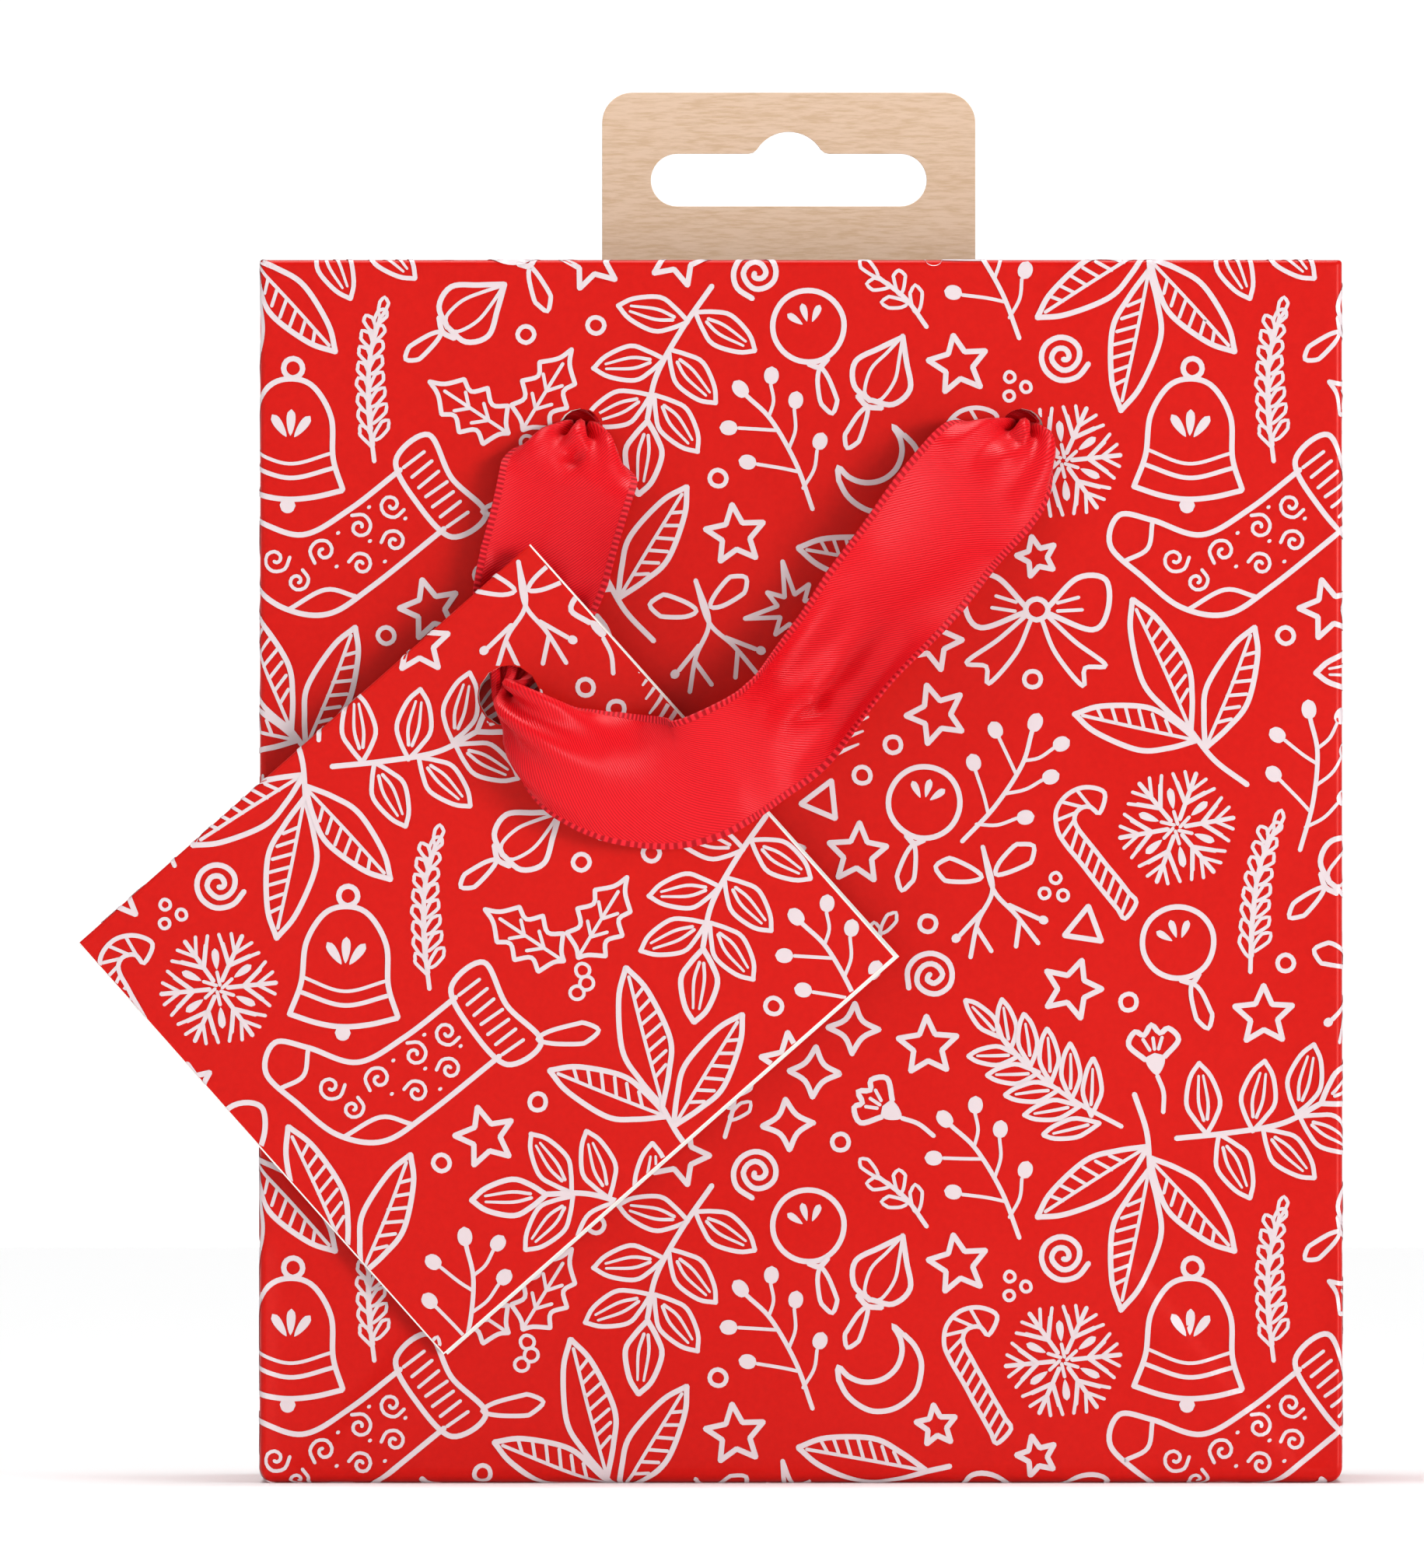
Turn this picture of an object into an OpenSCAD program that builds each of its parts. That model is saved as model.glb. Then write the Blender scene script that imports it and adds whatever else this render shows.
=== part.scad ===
// Small paper gift bag with a stiffened mouth, ribbon handles, a folded gift tag
// and a card tab with a hanging slot.
// The bag stands open on its base: X is its width, Y its depth, Z its height.
// The origin is the middle of the base, on the floor, and the front faces -Y.

/* [Bag] */
// Width of the front and back panels
bag_width = 124; // [118:1:136]
// Depth of the gussets, front to back
bag_depth = 54; // [50:1:64]
// Height from the floor to the mouth
bag_height = 140; // [136:1:180]
// Thickness of the printed paper
paper = 0.3; // [0.2:0.05:0.35]
// Depth of the hem that is folded inside the mouth
hem_depth = 29; // [27:1:34]
// Thickness of the stiffener cards and of the base card
card = 0.6; // [0.4:0.1:0.7]
// How far each bottom flap reaches past the middle of the base
flap_overlap = 8; // [4:1:12]
// Width of the glued lengthwise seam
seam_width = 12; // [8:1:15]

/* [Handles] */
// Distance between the two handle holes of a panel
hole_gap = 50.6; // [50:0.2:52]
// Height of the handle holes under the mouth
hole_drop = 19.5; // [18:0.5:22]
// Radius of a handle hole
hole_radius = 2.5; // [2.4:0.1:3]
// Radius of the gathered ribbon where it passes through a hole
neck_radius = 2.1; // [1.6:0.1:2.2]
// Radius of the knot inside the bag
knot_radius = 4.4; // [3.6:0.1:4.6]

/* [Gift tag] */
// Length of the tag along its fold
tag_length = 69; // [64:1:72]
// Width of the tag, from its fold to its open edge
tag_width = 63; // [58:1:66]
// Thickness of one leaf of the tag
leaf = 0.35; // [0.2:0.05:0.4]
// Radius of the hole in the tag
tag_hole_radius = 3.5; // [3.4:0.1:4]
// Angle of the fold above the horizontal, as the tag hangs
tag_turn = 41.5; // [30:0.5:50]
// Angle by which the tag leans back against the bag
tag_lean = 3.5; // [3:0.1:3.8]

/* [Hang tab] */
// Width of the hang tab
tab_width = 43.3; // [42:0.1:44]
// Height of the hang tab above the mouth
tab_rise = 20.2; // [19:0.1:24]
// Length of the tab that is glued inside the bag
tab_tongue = 13.5; // [10:0.5:14]
// Thickness of the tab's kraft board
tab_board = 0.5; // [0.4:0.05:0.7]
// Length of the hanging slot, round ends included
slot_length = 32; // [30:0.5:34]
// Height of the hanging slot
slot_height = 6.1; // [5:0.1:7]

/* [Hidden] */
$fn = 48;

half_width = bag_width / 2;
half_depth = bag_depth / 2;
hole_z = bag_height - hole_drop;
hem_z = bag_height - hem_depth;
fold_z = bag_height - paper;         // top of a panel, under the fold of its hem
floor_z = 3 * paper;                 // top of the glued bottom, where the base card lies
card_gap = 0.05;                     // air under the loose base card
play = 0.2;                          // air between neighbouring layers
end_play = 3;                        // air at each end of the loose base card
flap_taper = 20;                     // depth of a side flap of the base

hem_inset = paper + card;            // depth of the hem's outer face behind the panel's
hem_inner = hem_inset + paper;       // depth of the hem's inner face

tab_centre = -1.3;                   // the tab is glued a little left of the middle
tab_corner = 3.5;
tape = 0.15;
slot_rise = 7;                       // bottom of the slot above the mouth
hump_radius = 4.35;                  // round hump over the middle of the slot
hump_sink = 1.8;                     // centre of the hump below the slot's top

tag_corner = 1;
tag_hole_side = 13.3;                // hole centre to the tag's right end
tag_hole_fold = 11.4;                // hole centre to the tag's fold
tag_hole = [-33.4, 6, -30.4];        // x, distance in front of the panel, z from the handle holes

neck_proud = 1.2;                    // end of the gathered neck in front of the panel

// Routes of the ribbons: x, distance in front of the panel, z from the handle
// holes, width and thickness of the ribbon there.
FRONT_ROUTE = [
    [-25.3, 3.0, 0, 4.5, 2.6], [-26.4, 3.2, -2.5, 8.5, 2.4], [-27.5, 3.6, -5.5, 11.5, 1.9],
    [-28.6, 4.0, -10, 13.4, 1.3], [-30, 4.3, -16, 12.5, 1.2], [-31.4, 4.3, -21, 10, 1.4],
    [-32.6, 4.2, -25.5, 6.5, 1.8], [-33.3, 4.6, -28.6, 4, 2], [-33.4, 6, -30.4, 3.4, 2.2],
    [-32.8, 7.6, -32.2, 4.5, 2], [-31, 8.8, -34.6, 7.5, 2], [-27.6, 9.4, -37.6, 10.5, 1.6],
    [-23, 9.6, -39.9, 12.4, 1.3], [-18.5, 9.6, -41.2, 13.6, 1.1], [-13.5, 9.5, -40.8, 14.1, 1],
    [-9, 9.3, -38.6, 14.2, 1], [-4.4, 9, -35.2, 13.8, 1], [-0.5, 8.6, -32, 13.4, 1],
    [3.6, 8.1, -27.6, 13.6, 1], [7.7, 7.4, -22.1, 14.6, 1], [11.6, 6.6, -17.2, 15.4, 1],
    [15.2, 5.6, -12.8, 14.8, 1.1], [18.5, 4.7, -8.6, 13, 1.4], [21.5, 3.9, -4.9, 11, 1.9],
    [23.9, 3.3, -2, 8, 2.4], [25.3, 3.0, 0, 4.5, 2.6]
];
// Right half of the handle behind the bag, from its hole to its lowest point
BACK_HALF = [
    [25.3, 3.0, 0, 4.5, 2.6], [25.5, 3.2, -3, 8, 2.4], [25.4, 3.6, -6.5, 11.5, 1.9],
    [25, 4.2, -11.5, 14.5, 1.3], [24.3, 5, -18, 15.9, 1], [22.9, 5.8, -25, 15.9, 1],
    [20.3, 6.6, -32, 15.9, 1], [16.1, 7.2, -38.2, 15.9, 1], [10.7, 7.6, -42.8, 15.9, 1],
    [5.2, 7.8, -45.4, 15.9, 1]
];
BACK_ROUTE = concat(
    BACK_HALF,
    [[0, 7.8, -46.2, 15.9, 1]],
    [for (i = [len(BACK_HALF) - 1:-1:0]) [-BACK_HALF[i][0], BACK_HALF[i][1], BACK_HALF[i][2],
                                          BACK_HALF[i][3], BACK_HALF[i][4]]]
);
RING_SIDES = 8;

RED = "#E2241C";
KRAFT = "#DDBB96";
WHITE = "#F2F1EC";
GREY = "#C9C4B8";
SATIN = "#D3120F";

// ---- Sheets: outlines drawn in X and Z, stood up behind the panel's face ----

// Stands an outline up as a front sheet whose outer face is `inset` behind the panel's.
module front_sheet(inset, thick) {
    translate([0, inset + thick - half_depth, 0])
        rotate([90, 0, 0])
            linear_extrude(thick) children();
}

// Stands an outline, drawn in Y and Z, up as a sheet on the right side.
module side_sheet(inset, thick) {
    translate([half_width - inset - thick, 0, 0])
        rotate([90, 0, 90])
            linear_extrude(thick) children();
}

module band(half_length, low, high) {
    translate([-half_length, low]) square([2 * half_length, high - low]);
}

module handle_holes() {
    for (side = [-1, 1])
        translate([side * hole_gap / 2, hole_z]) circle(r = hole_radius);
}

// A rectangle with round corners, centred on X, its lower edge at 0.
module round_plate(width, height, corner) {
    translate([corner - width / 2, 0]) square([width - 2 * corner, height]);
    translate([-width / 2, corner]) square([width, height - 2 * corner]);
    for (side = [-1, 1], level = [corner, height - corner])
        translate([side * (width / 2 - corner), level]) circle(r = corner);
}

// ---- The folded paper ----

module panel_sheet() {
    front_sheet(0, paper) difference() {
        band(half_width, paper, fold_z);
        handle_holes();
    }
}

module stiffener_sheet() {
    front_sheet(paper, card) difference() {
        band(half_width - 1.5, hem_z + 1, fold_z);
        handle_holes();
    }
}

// The hem hangs inside the stiffener, and its fold covers the panel's top edge.
module hem_sheet() {
    front_sheet(hem_inset, paper) difference() {
        band(half_width - paper - play, hem_z, fold_z);
        handle_holes();
    }
    front_sheet(0, hem_inner) band(half_width, fold_z, bag_height);
}

module gusset_sheet() {
    side_sheet(0, paper) band(half_depth - paper, floor_z, fold_z);
}

module side_hem_sheet() {
    side_sheet(paper, paper) band(half_depth - hem_inner - play, hem_z, fold_z);
    side_sheet(0, 2 * paper) band(half_depth - hem_inner, fold_z, bag_height);
}

module side_flap_sheet() {
    edge = half_depth - paper;
    translate([0, 0, 2 * paper]) linear_extrude(paper)
        polygon([
            [half_width, -edge], [half_width, edge],
            [half_width - flap_taper, edge - flap_taper],
            [half_width - flap_taper, flap_taper - edge]
        ]);
}

module front_panel() { color(RED) panel_sheet(); }
module back_panel() { color(RED) mirror([0, 1, 0]) panel_sheet(); }
module left_gusset() { color(RED) mirror([1, 0, 0]) gusset_sheet(); }
module right_gusset() { color(RED) gusset_sheet(); }

// Strip of the sheet that laps the right gusset from inside and is glued to it.
module seam_flap() {
    color(WHITE) side_sheet(paper, paper)
        translate([half_depth - paper - play - seam_width, floor_z + play])
            square([seam_width, hem_z - floor_z - 2 * play]);
}

module front_hem() { color(RED) hem_sheet(); }
module back_hem() { color(RED) mirror([0, 1, 0]) hem_sheet(); }
module left_hem() { color(RED) mirror([1, 0, 0]) side_hem_sheet(); }
module right_hem() { color(RED) side_hem_sheet(); }
module front_stiffener() { color(GREY) stiffener_sheet(); }
module back_stiffener() { color(GREY) mirror([0, 1, 0]) stiffener_sheet(); }

// ---- The glued bottom ----

module bottom_front_flap() {
    color(RED) translate([-half_width, -half_depth, 0])
        cube([bag_width, half_depth + flap_overlap, paper]);
}

// The back flap lies on the floor, and steps up over the front flap's edge.
module bottom_back_flap() {
    step = flap_overlap + play;
    color(RED) translate([-half_width, 0, 0]) rotate([90, 0, 90]) linear_extrude(bag_width)
        polygon([
            [half_depth, 0], [step, 0], [step, paper], [-flap_overlap, paper],
            [-flap_overlap, 2 * paper], [step + paper, 2 * paper],
            [step + paper, paper], [half_depth, paper]
        ]);
}

module bottom_left_flap() { color(RED) mirror([1, 0, 0]) side_flap_sheet(); }
module bottom_right_flap() { color(RED) side_flap_sheet(); }

module bottom_card() {
    length = bag_width - 2 * end_play;
    width = bag_depth - 2 * hem_inner - 4 * play;
    color(GREY) translate([0, -width / 2, floor_z + card_gap])
        linear_extrude(card) round_plate(length, width, 2);
}

// ---- The hang tab ----

module hanging_slot() {
    end_radius = slot_height / 2;
    straight = slot_length / 2 - end_radius;
    translate([-straight, 0]) square([2 * straight, slot_height]);
    for (side = [-1, 1])
        translate([side * straight, end_radius]) circle(r = end_radius);
    translate([0, slot_height - hump_sink]) circle(r = hump_radius);
}

module hang_tab() {
    color(KRAFT) mirror([0, 1, 0]) front_sheet(hem_inner + tape, tab_board)
        translate([tab_centre, bag_height - tab_tongue]) difference() {
            round_plate(tab_width, tab_tongue + tab_rise, tab_corner);
            translate([0, tab_tongue + slot_rise]) hanging_slot();
        }
}

module tab_tape() {
    color(WHITE) mirror([0, 1, 0]) front_sheet(hem_inner, tape)
        translate([tab_centre, bag_height - tab_tongue + 1.5])
            round_plate(tab_width - 6, tab_tongue - 3, 1);
}

// ---- The ribbon handles ----

function spot(route, i) = [route[i][0], -half_depth - route[i][1], hole_z + route[i][2]];
function unit(v) = v / norm(v);
function heading(route, i) =
    unit(spot(route, min(i + 1, len(route) - 1)) - spot(route, max(i - 1, 0)));
// The ribbon's width stays square to its route and level with the panel.
function across(t) = unit([-t[2], 0, t[0]]);
function ring(route, i) =
    let (t = heading(route, i), wide = across(t), deep = cross(t, wide))
    [for (k = [0:RING_SIDES - 1])
        let (a = (k + 0.5) * 360 / RING_SIDES)
        spot(route, i) + wide * (route[i][3] / 2 * cos(a)) + deep * (route[i][4] / 2 * sin(a))];

module ribbon(route) {
    last = len(route) - 1;
    points = [for (i = [0:last]) each ring(route, i)];
    walls = [for (i = [0:last - 1], k = [0:RING_SIDES - 1])
        let (a = i * RING_SIDES + k, b = i * RING_SIDES + (k + 1) % RING_SIDES)
        each [[a, a + RING_SIDES, b + RING_SIDES], [a, b + RING_SIDES, b]]];
    start_cap = [[for (k = [0:RING_SIDES - 1]) k]];
    end_cap = [[for (k = [RING_SIDES - 1:-1:0]) last * RING_SIDES + k]];
    polyhedron(points = points, faces = concat(walls, start_cap, end_cap), convexity = 4);
}

// The gathered ribbon in a handle hole, and the knot that stops it inside.
module knot(side) {
    neck_length = neck_proud + hem_inner + knot_radius / 2;
    translate([side * hole_gap / 2, -half_depth, hole_z]) {
        translate([0, neck_length - neck_proud, 0])
            rotate([90, 0, 0]) cylinder(h = neck_length, r = neck_radius);
        translate([0, hem_inner + play + knot_radius, 0]) sphere(r = knot_radius);
    }
}

module front_ribbon() { color(SATIN) ribbon(FRONT_ROUTE); }
module front_left_knot() { color(SATIN) knot(-1); }
module front_right_knot() { color(SATIN) knot(1); }
module back_ribbon() { color(SATIN) rotate([0, 0, 180]) ribbon(BACK_ROUTE); }
module back_left_knot() { color(SATIN) mirror([0, 1, 0]) knot(-1); }
module back_right_knot() { color(SATIN) mirror([0, 1, 0]) knot(1); }

// ---- The gift tag ----

// Places the tag: its hole round the ribbon, its fold along the upper left edge.
module hang_tag() {
    translate([tag_hole[0], -half_depth - tag_hole[1], hole_z + tag_hole[2]])
        rotate([90 + tag_lean, 0, 0]) rotate([0, 0, tag_turn]) children();
}

module tag_outline(trim) {
    difference() {
        translate([tag_hole_side - tag_length / 2, tag_hole_fold - tag_width])
            round_plate(tag_length, tag_width - trim, tag_corner);
        circle(r = tag_hole_radius);
    }
}

module tag_cover() {
    color(RED) hang_tag() {
        translate([0, 0, 0.05]) linear_extrude(leaf) tag_outline(0);
        translate([tag_hole_side - tag_length + tag_corner, tag_hole_fold - leaf, -leaf - 0.05])
            cube([tag_length - 2 * tag_corner, leaf, leaf + 0.1]);
    }
}

module tag_leaf() {
    color(WHITE) hang_tag()
        translate([0, 0, -leaf - 0.05]) linear_extrude(leaf) tag_outline(leaf + play);
}

front_panel();
back_panel();
left_gusset();
right_gusset();
seam_flap();
front_hem();
back_hem();
left_hem();
right_hem();
front_stiffener();
back_stiffener();
bottom_front_flap();
bottom_back_flap();
bottom_left_flap();
bottom_right_flap();
bottom_card();
hang_tab();
tab_tape();
front_ribbon();
front_left_knot();
front_right_knot();
back_ribbon();
back_left_knot();
back_right_knot();
tag_cover();
tag_leaf();
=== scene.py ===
"""Small paper gift bag with ribbon handles, a folded gift tag and a kraft hang tab.

Lengths are in millimetres until a mesh is made. The bag stands on Z = 0 and faces -Y.
"""

import logging
import math
import random
from collections.abc import Callable, Sequence
from dataclasses import dataclass, field
from enum import Enum

import bpy
import numpy as np
from mathutils import Matrix, Vector


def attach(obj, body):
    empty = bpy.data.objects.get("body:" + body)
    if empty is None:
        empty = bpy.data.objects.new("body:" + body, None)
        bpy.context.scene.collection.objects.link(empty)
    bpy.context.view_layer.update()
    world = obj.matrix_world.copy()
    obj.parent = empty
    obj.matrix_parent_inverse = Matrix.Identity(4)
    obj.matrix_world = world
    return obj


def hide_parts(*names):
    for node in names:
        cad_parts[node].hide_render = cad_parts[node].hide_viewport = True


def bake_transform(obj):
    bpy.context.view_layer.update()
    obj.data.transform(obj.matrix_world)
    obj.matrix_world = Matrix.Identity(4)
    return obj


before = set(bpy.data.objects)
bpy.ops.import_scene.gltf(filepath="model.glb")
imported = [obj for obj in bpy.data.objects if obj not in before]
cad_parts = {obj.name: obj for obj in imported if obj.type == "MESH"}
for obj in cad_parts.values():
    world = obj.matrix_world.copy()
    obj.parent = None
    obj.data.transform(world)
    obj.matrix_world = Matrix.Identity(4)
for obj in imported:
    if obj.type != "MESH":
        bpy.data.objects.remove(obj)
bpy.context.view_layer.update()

LOG = logging.getLogger("gift_bag")

Pair = tuple[float, float]
Triple = tuple[float, float, float]
Faces = list[tuple[int, ...]]

MM = 0.001

BAG_WIDTH = 124.0
BAG_DEPTH = 54.0
BAG_HEIGHT = 140.0
PAPER = 0.3
BOARD = 0.6
HEM_DEPTH = 29.0
HOLE_SIDE = 25.3
HOLE_Z = 120.5
HOLE_RADIUS = 2.5
CREASE_Z = BAG_DEPTH / 2
PERIMETER = 2 * (BAG_WIDTH + BAG_DEPTH)

TAG_HOLE = (-33.4, -33.0, 90.1)
TAG_HOLE_RADIUS = 3.5
TAG_LEFT, TAG_RIGHT = -55.7, 13.3
TAG_BOTTOM, TAG_TOP = -51.6, 11.4
TAG_TURN = math.radians(41.5)
TAG_LEAN = math.radians(3.5)
TAG_CARD = 0.35

RIBBON_WIDTH = 15.9
RIBBON_THICKNESS = 0.25

HOLE_REACH = 6.0
TAG_HOLE_REACH = 5.6
TAG_BORDER = 0.16
TAG_TRIM = 0.18
PRINT_GAP = 0.1
BAG_PRINT_SHIFT = (11.0, 4.0)
TAG_PRINT_SHIFT = (31.0, 52.0)

INK_LIFT = 0.035
INK_STAGGER = 0.075
INK_RISE = 0.012
INK_ROOT = 0.05
GOLDEN_SHARE = 0.618


class Weight(Enum):
    """Pen widths of the printed line drawings."""

    BOLD = 0.62
    MEDIUM = 0.52
    FINE = 0.4


class Side(Enum):
    """Which of the two long walls a part belongs to; the value is its sign on Y."""

    FRONT = -1
    BACK = 1


# ---- Meshes ----


def add_mesh(
    name: str,
    points: np.ndarray,
    faces: Faces,
    materials: Sequence[bpy.types.Material],
    kinds: Sequence[int] | None = None,
    smooth: bool = True,
) -> bpy.types.Object:
    """Makes a mesh object from points in millimetres.

    Args:
        name: Name of the piece.
        points: Vertex positions, one row each.
        faces: Vertex numbers of each face.
        materials: Materials in slot order.
        kinds: Material slot of each face, or None for the first slot.
        smooth: Whether the faces are shaded smooth between sharp edges.

    Returns:
        The new object, linked to the scene.
    """
    mesh = bpy.data.meshes.new(name)
    mesh.from_pydata((np.asarray(points, float) * MM).tolist(), [], faces)
    for material in materials:
        mesh.materials.append(material)
    if kinds is not None:
        mesh.polygons.foreach_set("material_index", list(kinds))
    mesh.polygons.foreach_set("use_smooth", [smooth] * len(mesh.polygons))
    if smooth:
        mesh.set_sharp_from_angle(angle=math.radians(42))
    mesh.update()
    piece = bpy.data.objects.new(name, mesh)
    bpy.context.scene.collection.objects.link(piece)
    return piece


def shell_faces(
    keep: np.ndarray, wrap: bool
) -> tuple[Faces, list[int]]:
    """Faces of a thin closed shell over a grid: outer layer, inner layer and rims.

    Args:
        keep: Which grid cells are there, columns by rows.
        wrap: Whether the last column joins the first.

    Returns:
        The faces, with the outer vertices numbered before the inner ones, and the kind of
        each face: 0 outer, 1 inner or rim.
    """
    columns, rows = keep.shape
    across = columns if wrap else columns + 1
    up = rows + 1
    inner = across * up
    faces: Faces = []
    kinds: list[int] = []

    def there(i: int, j: int) -> bool:
        if wrap:
            i %= columns
        return 0 <= i < columns and 0 <= j < rows and bool(keep[i, j])

    for i in range(columns):
        for j in range(rows):
            if not keep[i, j]:
                continue
            a = i * up + j
            b = ((i + 1) % across) * up + j
            c = b + 1
            d = a + 1
            faces.append((a, b, c, d))
            kinds.append(0)
            faces.append((inner + d, inner + c, inner + b, inner + a))
            kinds.append(1)
            sides = (((i, j - 1), a, b), ((i + 1, j), b, c), ((i, j + 1), c, d), ((i - 1, j), d, a))
            for (m, n), p, q in sides:
                if not there(m, n):
                    faces.append((q, p, inner + p, inner + q))
                    kinds.append(1)
    return faces, kinds


def steps(stops: Sequence[float], spacing: float) -> list[float]:
    """Even steps between the given stops, each no longer than the spacing.

    Args:
        stops: Values that must be in the result, in order.
        spacing: Longest step.

    Returns:
        The values, the stops among them.
    """
    values = [stops[0]]
    for low, high in zip(stops, stops[1:]):
        count = max(1, math.ceil((high - low) / spacing - 1e-6))
        values += [low + (high - low) * (k + 1) / count for k in range(count)]
    return values


def smoothstep(x: np.ndarray) -> np.ndarray:
    """Smooth rise from 0 at 0 to 1 at 1.

    Args:
        x: Where to evaluate it.

    Returns:
        The value at each place.
    """
    x = np.clip(x, 0.0, 1.0)
    return x * x * (3.0 - 2.0 * x)


# ---- Surfaces that carry print ----


class Surface:
    """A sheet's outer face, given by its flat coordinates: s to the right, t up."""

    def at(self, s: np.ndarray, t: np.ndarray) -> np.ndarray:
        """Points of the face.

        Args:
            s: Flat coordinates to the right.
            t: Flat coordinates up.

        Returns:
            One point a row, in the row frame.
        """
        raise NotImplementedError

    def tight(self, s: np.ndarray, t: np.ndarray) -> np.ndarray:
        """Where the sheet is folded so tightly that print needs finer steps.

        Args:
            s: Flat coordinates to the right.
            t: Flat coordinates up.

        Returns:
            True at each tight place.
        """
        return np.zeros(np.shape(s), bool)

    def normals(self, s: np.ndarray, t: np.ndarray) -> np.ndarray:
        """Outward directions of the face.

        Args:
            s: Flat coordinates to the right.
            t: Flat coordinates up.

        Returns:
            One unit vector a row.
        """
        step = 0.02
        right = self.at(s + step, t) - self.at(s - step, t)
        up = self.at(s, t + step) - self.at(s, t - step)
        out = np.cross(right, up)
        return out / np.maximum(np.linalg.norm(out, axis=-1, keepdims=True), 1e-12)

    def place(self, s: np.ndarray, t: np.ndarray, lift: np.ndarray | float) -> np.ndarray:
        """Points lifted off the face.

        Args:
            s: Flat coordinates to the right.
            t: Flat coordinates up.
            lift: Distance outward.

        Returns:
            One point a row.
        """
        return self.at(s, t) + self.normals(s, t) * np.asarray(lift)[..., None]


class BagSurface(Surface):
    """Outer face of the folded bag, from under the base over the mouth into the hem.

    s runs round the bag from the front's left fold; t is the height on the walls.
    """

    CORNER = 0.8
    BOTTOM = 1.8
    FOLD_WALL = PAPER + BOARD / 2
    FOLD_GUSSET = PAPER
    STARTS = (0.0, BAG_WIDTH, BAG_WIDTH + BAG_DEPTH, 2 * BAG_WIDTH + BAG_DEPTH)
    LENGTHS = (BAG_WIDTH, BAG_DEPTH, BAG_WIDTH, BAG_DEPTH)
    T_LOW = BOTTOM * (1 - math.pi / 2)
    T_HEM = BAG_HEIGHT - FOLD_WALL + math.pi * FOLD_WALL
    T_HIGH = T_HEM + HEM_DEPTH - FOLD_WALL
    T_HEM_HOLE = T_HEM + BAG_HEIGHT - FOLD_WALL - HOLE_Z
    MOUTH_PULL = 2.2

    def walls(self, s: np.ndarray) -> tuple[np.ndarray, np.ndarray]:
        """Which wall a place is on.

        Args:
            s: Flat coordinates round the bag.

        Returns:
            The wall, 0 front, 1 right, 2 back, 3 left, and the distance along it.
        """
        s = np.mod(s, PERIMETER)
        wall = np.searchsorted(np.array(self.STARTS[1:]), s, side="right")
        return wall, s - np.array(self.STARTS)[wall]

    def ring(self, s: np.ndarray, inset: np.ndarray) -> tuple[np.ndarray, np.ndarray]:
        """Places on the bag's rounded outline, drawn in by an inset.

        Args:
            s: Flat coordinates round the bag.
            inset: Distance inward.

        Returns:
            The X and Y of each place, and the outward direction there.
        """
        wall, a = self.walls(s)
        x, y = BAG_WIDTH / 2, BAG_DEPTH / 2
        corner = np.array([(-x, -y), (x, -y), (x, y), (-x, y)])[wall]
        along = np.array([(1, 0), (0, 1), (-1, 0), (0, -1)], float)[wall]
        out = np.array([(0, -1), (1, 0), (0, 1), (-1, 0)], float)[wall]
        length = np.array(self.LENGTHS)[wall]
        radius = np.maximum(self.CORNER - inset, 0.05)
        edge = inset + radius
        share = np.clip((a - self.CORNER) / (length - 2 * self.CORNER), 0.0, 1.0)
        run = edge + share * (length - 2 * edge)
        near = np.maximum(self.CORNER - a, 0.0)
        far = np.maximum(self.CORNER - (length - a), 0.0)
        turn = (far - near) / self.CORNER * (math.pi / 4)
        direction = out * np.cos(turn)[..., None] + along * np.sin(turn)[..., None]
        centre = corner + along * run[..., None] - out * edge[..., None]
        return centre + direction * radius[..., None], direction

    def relief(self, s: np.ndarray, z: np.ndarray) -> np.ndarray:
        """How far the paper stands out of its flat wall.

        Args:
            s: Flat coordinates round the bag.
            z: Heights.

        Returns:
            Distances outward.
        """
        wall, a = self.walls(s)
        length = np.array(self.LENGTHS)[wall]
        x = a - length / 2
        flat = smoothstep((108.0 - z) / 25) * smoothstep(z / 6) * smoothstep((length / 2 - np.abs(x)) / 8)
        wave = 0.22 * np.sin(0.052 * x + 0.9) * np.sin(0.043 * z + 0.4)
        wave += 0.1 * np.sin(0.11 * x - 0.07 * z + 2.1)
        tent = 0.2 * np.clip(1 - np.abs(z - CREASE_Z) / 10, 0, 1)
        slant = (np.abs(x) + 0.83 * z - 58.4) / 1.3
        below = smoothstep((CREASE_Z + 1.2 - z) / 1.5)
        folded = -0.32 * smoothstep((slant + 0.8) / 1.6) * below
        folded *= smoothstep(z / 3) * smoothstep((length / 2 - np.abs(x)) / 2.5)
        panel = flat * (wave + tent) + folded
        rise = np.clip((z - CREASE_Z) / (BAG_HEIGHT - CREASE_Z), 0, 1)
        valley = 1 - np.sqrt(x * x + 0.36) / (BAG_DEPTH / 2)
        gusset = -self.MOUTH_PULL * rise * np.maximum(valley, 0.0)
        diagonal = np.abs(np.abs(x) - (CREASE_Z - z)) / math.sqrt(2)
        crease = 0.28 * np.exp(-((diagonal / 0.6) ** 2)) * smoothstep((CREASE_Z + 1 - z) / 2)
        crease += 0.24 * np.exp(-(((z - CREASE_Z) / 0.6) ** 2))
        crease *= smoothstep(z / 4) * smoothstep((length / 2 - np.abs(x)) / 3)
        return np.where(wall % 2 == 0, panel, gusset - crease)

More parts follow.
